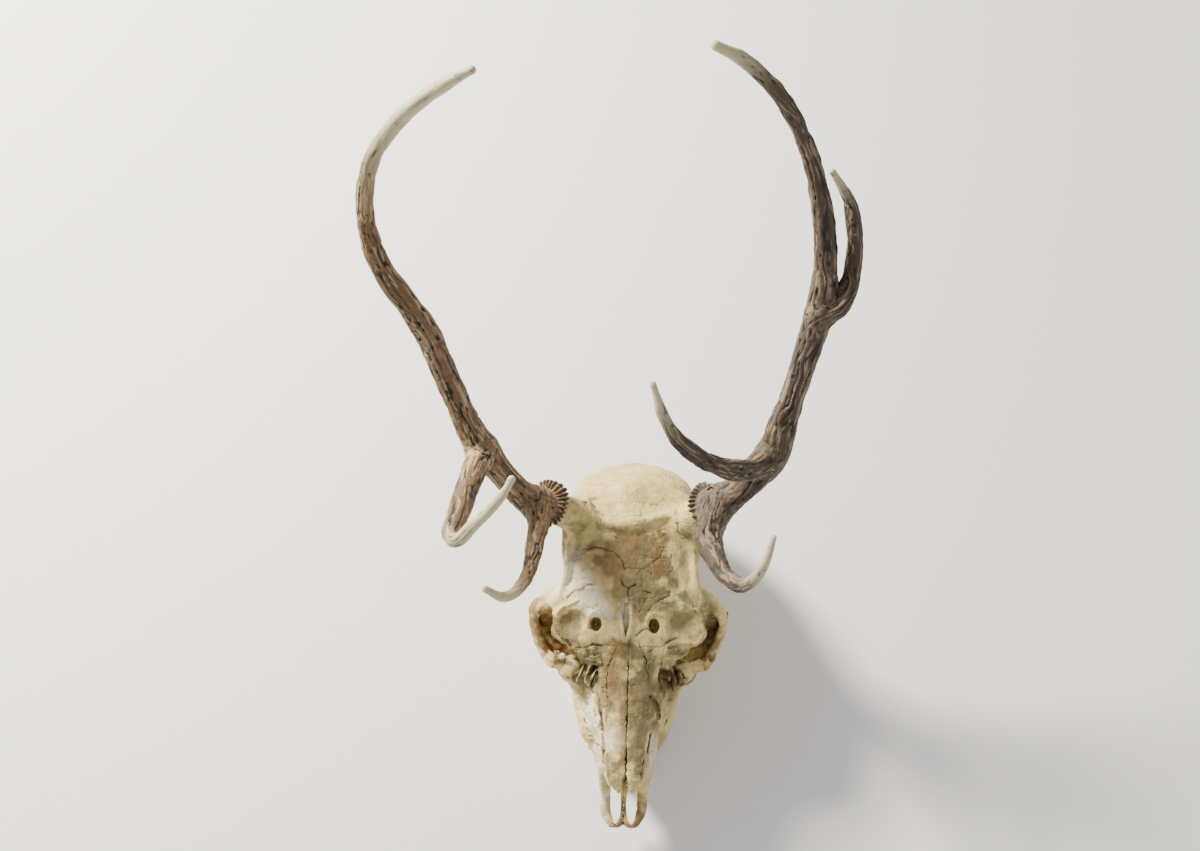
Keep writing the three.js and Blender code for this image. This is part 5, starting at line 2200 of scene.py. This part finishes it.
class Finish:
    """A material under construction."""

    def __init__(self, name: str) -> None:
        """Starts a material with a bare shader.

        Args:
            name: Its name.
        """
        self.material = bpy.data.materials.new(name)
        self.material.use_nodes = True
        self.tree = self.material.node_tree
        self.shader = self.tree.nodes["Principled BSDF"]
        self.place = self.node("ShaderNodeTexCoord", "Object")

    def node(
        self, kind: str, output: str, settings: dict[str, object] | None = None, **inputs: object
    ) -> Wire:
        """Adds a node.

        Args:
            kind: Its type.
            output: Which of its outputs is wanted.
            settings: What is set on it first.
            inputs: Values or wires for its sockets, by name with _ for a space.

        Returns:
            That output.
        """
        made = self.tree.nodes.new(kind)
        for key, value in (settings or {}).items():
            setattr(made, key, value)
        for key, value in inputs.items():
            socket = self._input(made, key)
            if isinstance(value, Wire):
                self.tree.links.new(value.socket, socket)
            else:
                socket.default_value = value
        return Wire(self.tree, next(s for s in made.outputs if s.enabled and s.name == output))

    @staticmethod
    def _input(made: bpy.types.Node, key: str) -> bpy.types.NodeSocket:
        """Finds an input by name, or by place as in in_2, among the enabled ones.

        Args:
            made: The node.
            key: The input's name or place.

        Returns:
            The socket.
        """
        enabled = [socket for socket in made.inputs if socket.enabled]
        if key.startswith("in_"):
            return enabled[int(key[3:])]
        return next(socket for socket in enabled if socket.name == key.replace("_", " "))

    def noise(self, size: float, detail: float, rough: float, stretch: Point = (1, 1, 1)) -> Wire:
        """Adds a cloudy pattern.

        Args:
            size: Width of its features in millimetres.
            detail: How many finer layers it has.
            rough: How strong those are.
            stretch: Its scale along X, Y and Z.

        Returns:
            The pattern, about 0 to 1.
        """
        place = self.place
        if stretch != (1, 1, 1):
            place = self.node("ShaderNodeMapping", "Vector", Vector=place, Scale=stretch)
        return self.node(
            "ShaderNodeTexNoise", "Fac", Vector=place, Scale=1.0 / (size * MM), Detail=detail, Roughness=rough
        )

    def mark(self, name: str) -> Wire:
        """Reads a value painted on the mesh."""
        return self.node("ShaderNodeAttribute", "Fac", {"attribute_name": name})

    def ramp(self, value: Wire, low: float, high: float) -> Wire:
        """Spreads the span from low to high over 0 to 1 with soft ends."""
        soft = {"interpolation_type": "SMOOTHSTEP"}
        return self.node("ShaderNodeMapRange", "Result", soft, Value=value, From_Min=low, From_Max=high)

    def mix(self, share: object, first: object, second: object) -> Wire:
        """Mixes two colours.

        Args:
            share: How much of the second.
            first: The first colour.
            second: The second colour.

        Returns:
            The mixed colour.
        """
        colours = {"data_type": "RGBA"}
        return self.node("ShaderNodeMix", "Result", colours, in_0=share, in_1=first, in_2=second)

    def finish(
        self, colour: Wire, roughness: Wire, height: Wire, depth: float, strength: float
    ) -> bpy.types.Material:
        """Wires the shader up.

        Args:
            colour: The base colour.
            roughness: The roughness.
            height: The fine relief, 0 to 1.
            depth: How deep the relief is, in metres.
            strength: How strong it is.

        Returns:
            The finished material.
        """
        bump = self.node("ShaderNodeBump", "Normal", Height=height, Distance=depth, Strength=strength)
        for name, wire in (("Base Color", colour), ("Roughness", roughness), ("Normal", bump)):
            self.tree.links.new(wire.socket, self.shader.inputs[name])
        return self.material


@dataclass(frozen=True)
class BoneFinish:
    """Dry, weathered bone.

    Attributes:
        name: Its name.
        cream: Its main colour.
        sand: Its darker clouds.
        tan: The colour of its stains.
        white: The colour of its bleached places, also laid as painted sunlight and a painted highlight.
        aged: The colour of its older, darker skin, also laid as painted shade.
        olive: The colour of its green bloom, also laid as painted shade beside the right pedicle.
        soil: The painted shade laid in its hollows, where little light reaches.
        dark: The colour in its cracks.
    """

    name: str
    cream: tuple = paint(236, 214, 140)
    sand: tuple = paint(196, 172, 112)
    tan: tuple = paint(130, 98, 56)
    white: tuple = paint(255, 243, 208)
    aged: tuple = paint(114, 96, 62)
    olive: tuple = paint(124, 124, 84)
    soil: tuple = paint(74, 54, 28)
    dark: tuple = paint(38, 28, 18)

    def make(self) -> bpy.types.Material:
        """Builds the material.

        Returns:
            The material.
        """
        wet = Finish(self.name)
        clouds = wet.noise(42.0, 4.0, 0.6)
        mottle = wet.noise(7.0, 4.0, 0.6)
        fine = wet.noise(1.1, 3.0, 0.6)
        colour = wet.mix(wet.ramp(clouds * 0.6 + mottle * 0.4, 0.4, 0.62), self.cream, self.sand)
        # Painted sunlight together with bleached bone: paler where the pale patches lie.
        colour = wet.mix(wet.mark("bleach") * wet.ramp(mottle, 0.1, 0.38), colour, self.white)
        # Painted shade together with older bone: darker where the darker patches lie.
        colour = wet.mix(wet.mark("age") * (0.6 + 0.6 * mottle).least(1.0), colour, self.aged)
        # Olive bloom, and painted shade beside the right pedicle.
        colour = wet.mix(wet.mark("green") * 0.55, colour, self.olive)
        warm = wet.ramp(wet.noise(24.0, 4.0, 0.65), 0.52, 0.7) * 0.25
        stained = wet.mark("stain") * (0.35 + 0.6 * wet.ramp(mottle, 0.2, 0.6))
        colour = wet.mix((stained + warm).least(1.0), colour, self.tan)
        colour = wet.mix(wet.ramp(fine, 0.5, 0.72) * (0.4 - 0.3 * wet.mark("bleach")), colour, self.aged)
        # Painted shade: darker in hollows and recesses, where little light reaches.
        colour = wet.mix(wet.ramp(wet.mark("shade"), 0.3, 0.95) * 0.85, colour, self.soil)
        specks = wet.ramp(wet.noise(0.9, 1.0, 0.5), 0.7, 0.76)
        dust = wet.ramp(wet.noise(15.0, 3.0, 0.6), 0.45, 0.65)
        dark = (0.8 * wet.mark("crack") + specks * dust * 0.45).least(1.0)
        colour = wet.mix(dark, colour, self.dark)
        rough = 0.62 + 0.2 * mottle + 0.1 * wet.mark("bleach")
        pores = wet.noise(0.8, 2.0, 0.6)
        grain = wet.noise(1.5, 3.0, 0.6, (1.0, 0.2, 1.0))
        height = pores * 0.5 + grain * 0.8 + fine * 0.4 - wet.mark("crack") * 0.8
        wet.shader.inputs["Specular IOR Level"].default_value = 0.35
        return wet.finish(colour, rough, height, 0.0008, 0.9)


@dataclass(frozen=True)
class AntlerFinish:
    """Furrowed antler, worn pale at the points.

    Attributes:
        name: Its name.
        body: Its main brown.
        deep: The colour in its furrows, also laid as painted shade in its hollows.
        ridge: The colour of its worn ridges.
        tip: The colour of its points.
        pit: The colour of the pits in its points.
        burr: The colour of the burr's ridges.
    """

    name: str
    body: tuple = paint(114, 86, 56)
    deep: tuple = paint(40, 29, 19)
    ridge: tuple = paint(176, 150, 110)
    tip: tuple = paint(200, 188, 148)
    pit: tuple = paint(84, 74, 50)
    burr: tuple = paint(128, 108, 86)

    def make(self) -> bpy.types.Material:
        """Builds the material.

        Returns:
            The material.
        """
        horn = Finish(self.name)
        furrow = horn.mark("furrow")
        pale = horn.mark("pale")
        mottle = horn.noise(5.0, 4.0, 0.65)
        fine = horn.noise(0.9, 3.0, 0.6)
        worn = horn.ramp(horn.mark("streak") * 0.6 + 0.4 * mottle + 0.3 * horn.mark("patch"), 0.42, 0.9)
        colour = horn.mix(worn, self.body, self.ridge)
        colour = horn.mix(horn.mark("pearl") * 0.5, colour, self.ridge)
        colour = horn.mix(pale, colour, horn.mix(horn.ramp(mottle, 0.55, 0.72) * 0.55, self.tip, self.pit))
        colour = horn.mix(horn.mark("burr") * horn.ramp(mottle, 0.3, 0.6) * 0.7, colour, self.burr)
        inked = horn.ramp(furrow + 0.35 * mottle, 0.42, 1.0)
        colour = horn.mix(inked * (1 - pale * 0.35), colour, self.deep)
        # Painted shade: darker in hollows and in the burr's notches, where little light reaches.
        colour = horn.mix(horn.ramp(horn.mark("shade"), 0.25, 0.8) * 0.85, colour, self.deep)
        colour = horn.mix(horn.ramp(fine, 0.55, 0.75) * 0.3, colour, self.deep)
        rough = 0.6 - 0.18 * pale + 0.15 * mottle
        height = fine * 0.6 + horn.noise(1.6, 3.0, 0.65) * 0.8
        return horn.finish(colour, rough, height, 0.0005, 0.8)


@dataclass(frozen=True)
class ToothFinish:
    """Worn tooth, enamel over brown cement.

    Attributes:
        enamel: The colour of its sides.
        neck: The colour near the gum.
        dentine: The colour of the worn surface.
        hollow: The painted shade laid in its hollows, where little light reaches.
    """

    enamel: tuple = paint(222, 214, 190)
    neck: tuple = paint(168, 140, 96)
    dentine: tuple = paint(150, 118, 78)
    hollow: tuple = paint(46, 34, 22)

    def make(self) -> bpy.types.Material:
        """Builds the material.

        Returns:
            The material.
        """
        tooth = Finish("worn_tooth")
        mottle = tooth.noise(2.4, 4.0, 0.6)
        streak = tooth.noise(1.6, 3.0, 0.6, (1.0, 1.0, 0.25))
        colour = tooth.mix(tooth.ramp(tooth.mark("height") + 0.5 * mottle, 0.4, 0.95), self.enamel, self.neck)
        colour = tooth.mix(tooth.ramp(streak, 0.55, 0.72) * 0.6, colour, self.neck)
        colour = tooth.mix(tooth.mark("chewed") * tooth.ramp(mottle, 0.3, 0.55) * 0.7, colour, self.dentine)
        # Painted shade: darker in the hollows of the tooth.
        colour = tooth.mix(tooth.ramp(tooth.mark("hollow"), 0.3, 0.9), colour, self.hollow)
        tooth.shader.inputs["Coat Weight"].default_value = 0.15
        return tooth.finish(colour, 0.28 + 0.3 * mottle, mottle + streak, 0.0003, 0.4)


@dataclass(frozen=True)
class PlainFinish:
    """A plain matt surface for the floor.

    Attributes:
        colour: Its colour.
    """

    colour: tuple = paint(250, 249, 247)

    def make(self) -> bpy.types.Material:
        """Builds the material.

        Returns:
            The material.
        """
        plain = Finish("pale_floor")
        plain.shader.inputs["Base Color"].default_value = self.colour
        plain.shader.inputs["Roughness"].default_value = 0.9
        return plain.material


# ------------------------------------------------------------------ set


@dataclass
class Studio:
    """The floor, the lights and the camera.

    Attributes:
        eye: The camera's place in the skull's frame, in millimetres.
        drop: How steeply it looks down, in degrees.
        roll: How far it is rolled, in degrees.
        focal: Its focal length in pixels of the picture.
        picture_width: Width of the picture in pixels.
    """

    eye: Point = (-28.7, -60.9, 1215.0)
    drop: float = 68.0
    roll: float = 1.55
    focal: float = 1341.0
    picture_width: float = 1200.0

    def build(self) -> None:
        """Sets everything up."""
        self._floor()
        self._camera()
        self._light("key", (-1.45, 1.15, 1.35), 0.5, 162.0, (1.0, 0.96, 0.88))
        self._light("fill", (1.3, -1.2, 1.4), 1.6, 8.0, (0.92, 0.96, 1.0))
        world = bpy.data.worlds.new("soft_room")
        bpy.context.scene.world = world
        world.use_nodes = True
        sky = world.node_tree.nodes["Background"]
        sky.inputs["Color"].default_value = (0.99, 0.98, 1.0, 1.0)
        sky.inputs["Strength"].default_value = 0.54

    def _floor(self) -> None:
        """Lays the floor."""
        mesh = bpy.data.meshes.new("floor")
        reach = 6.0
        corners = [(-reach, -reach, 0), (reach, -reach, 0), (reach, reach, 0), (-reach, reach, 0)]
        mesh.from_pydata(corners, [], [(0, 1, 2, 3)])
        mesh.materials.append(PlainFinish().make())
        floor = bpy.data.objects.new("floor", mesh)
        bpy.context.scene.collection.objects.link(floor)

    def _camera(self) -> None:
        """Sets the camera."""
        drop, roll = math.radians(self.drop), math.radians(self.roll)
        ahead = Vector((0.0, math.cos(drop), -math.sin(drop)))
        level_up = Vector((0.0, math.sin(drop), math.cos(drop)))
        level_right = Vector((1.0, 0.0, 0.0))
        up = level_up * math.cos(roll) - level_right * math.sin(roll)
        right = level_right * math.cos(roll) + level_up * math.sin(roll)
        data = bpy.data.cameras.new("camera")
        data.sensor_width = 36.0
        data.lens = self.focal * data.sensor_width / self.picture_width
        data.clip_end = 20.0
        camera = bpy.data.objects.new("camera", data)
        bpy.context.scene.collection.objects.link(camera)
        turned = Matrix((right, up, -ahead)).transposed().to_4x4()
        turned.translation = Vector((np.array(self.eye) + OFFSET) * MM)
        camera.matrix_world = turned
        bpy.context.scene.camera = camera

    @staticmethod
    def _light(name: str, place: Point, size: float, watts: float, colour: Point) -> None:
        """Hangs a soft light that looks at the skull.

        Args:
            name: Its name.
            place: Where it hangs, in metres.
            size: Its width in metres.
            watts: Its power.
            colour: Its colour.
        """
        data = bpy.data.lights.new(name, "AREA")
        data.shape = "DISK"
        data.size = size
        data.energy = watts
        data.color = colour
        lamp = bpy.data.objects.new(name, data)
        bpy.context.scene.collection.objects.link(lamp)
        lamp.location = place
        lamp.rotation_euler = (Vector((0.0, 0.0, 0.12)) - Vector(place)).to_track_quat("-Z", "Y").to_euler()


def main() -> None:
    """Builds the skull, the teeth, the antlers and the set, and reports each piece."""
    logging.basicConfig(level=logging.INFO, format="%(name)s %(message)s")
    Studio().build()
    bone = BoneFinish("weathered_bone").make()
    tooth = ToothFinish().make()
    solid = SkullSolid().build()
    for piece in SkullBones().build(solid):
        piece.place(bone)
    for piece in CheekTeeth().build():
        piece.place(tooth)
    dark = AntlerFinish("dark_antler", paint(74, 58, 41), paint(28, 22, 16), paint(136, 116, 90))
    horns = {Side.LEFT: dark.make(), Side.RIGHT: AntlerFinish("brown_antler").make()}
    for plan in (LEFT_ANTLER, RIGHT_ANTLER):
        for piece in AntlerShape(plan).build():
            piece.place(horns[plan.side])


if __name__ == "__main__":
    main()
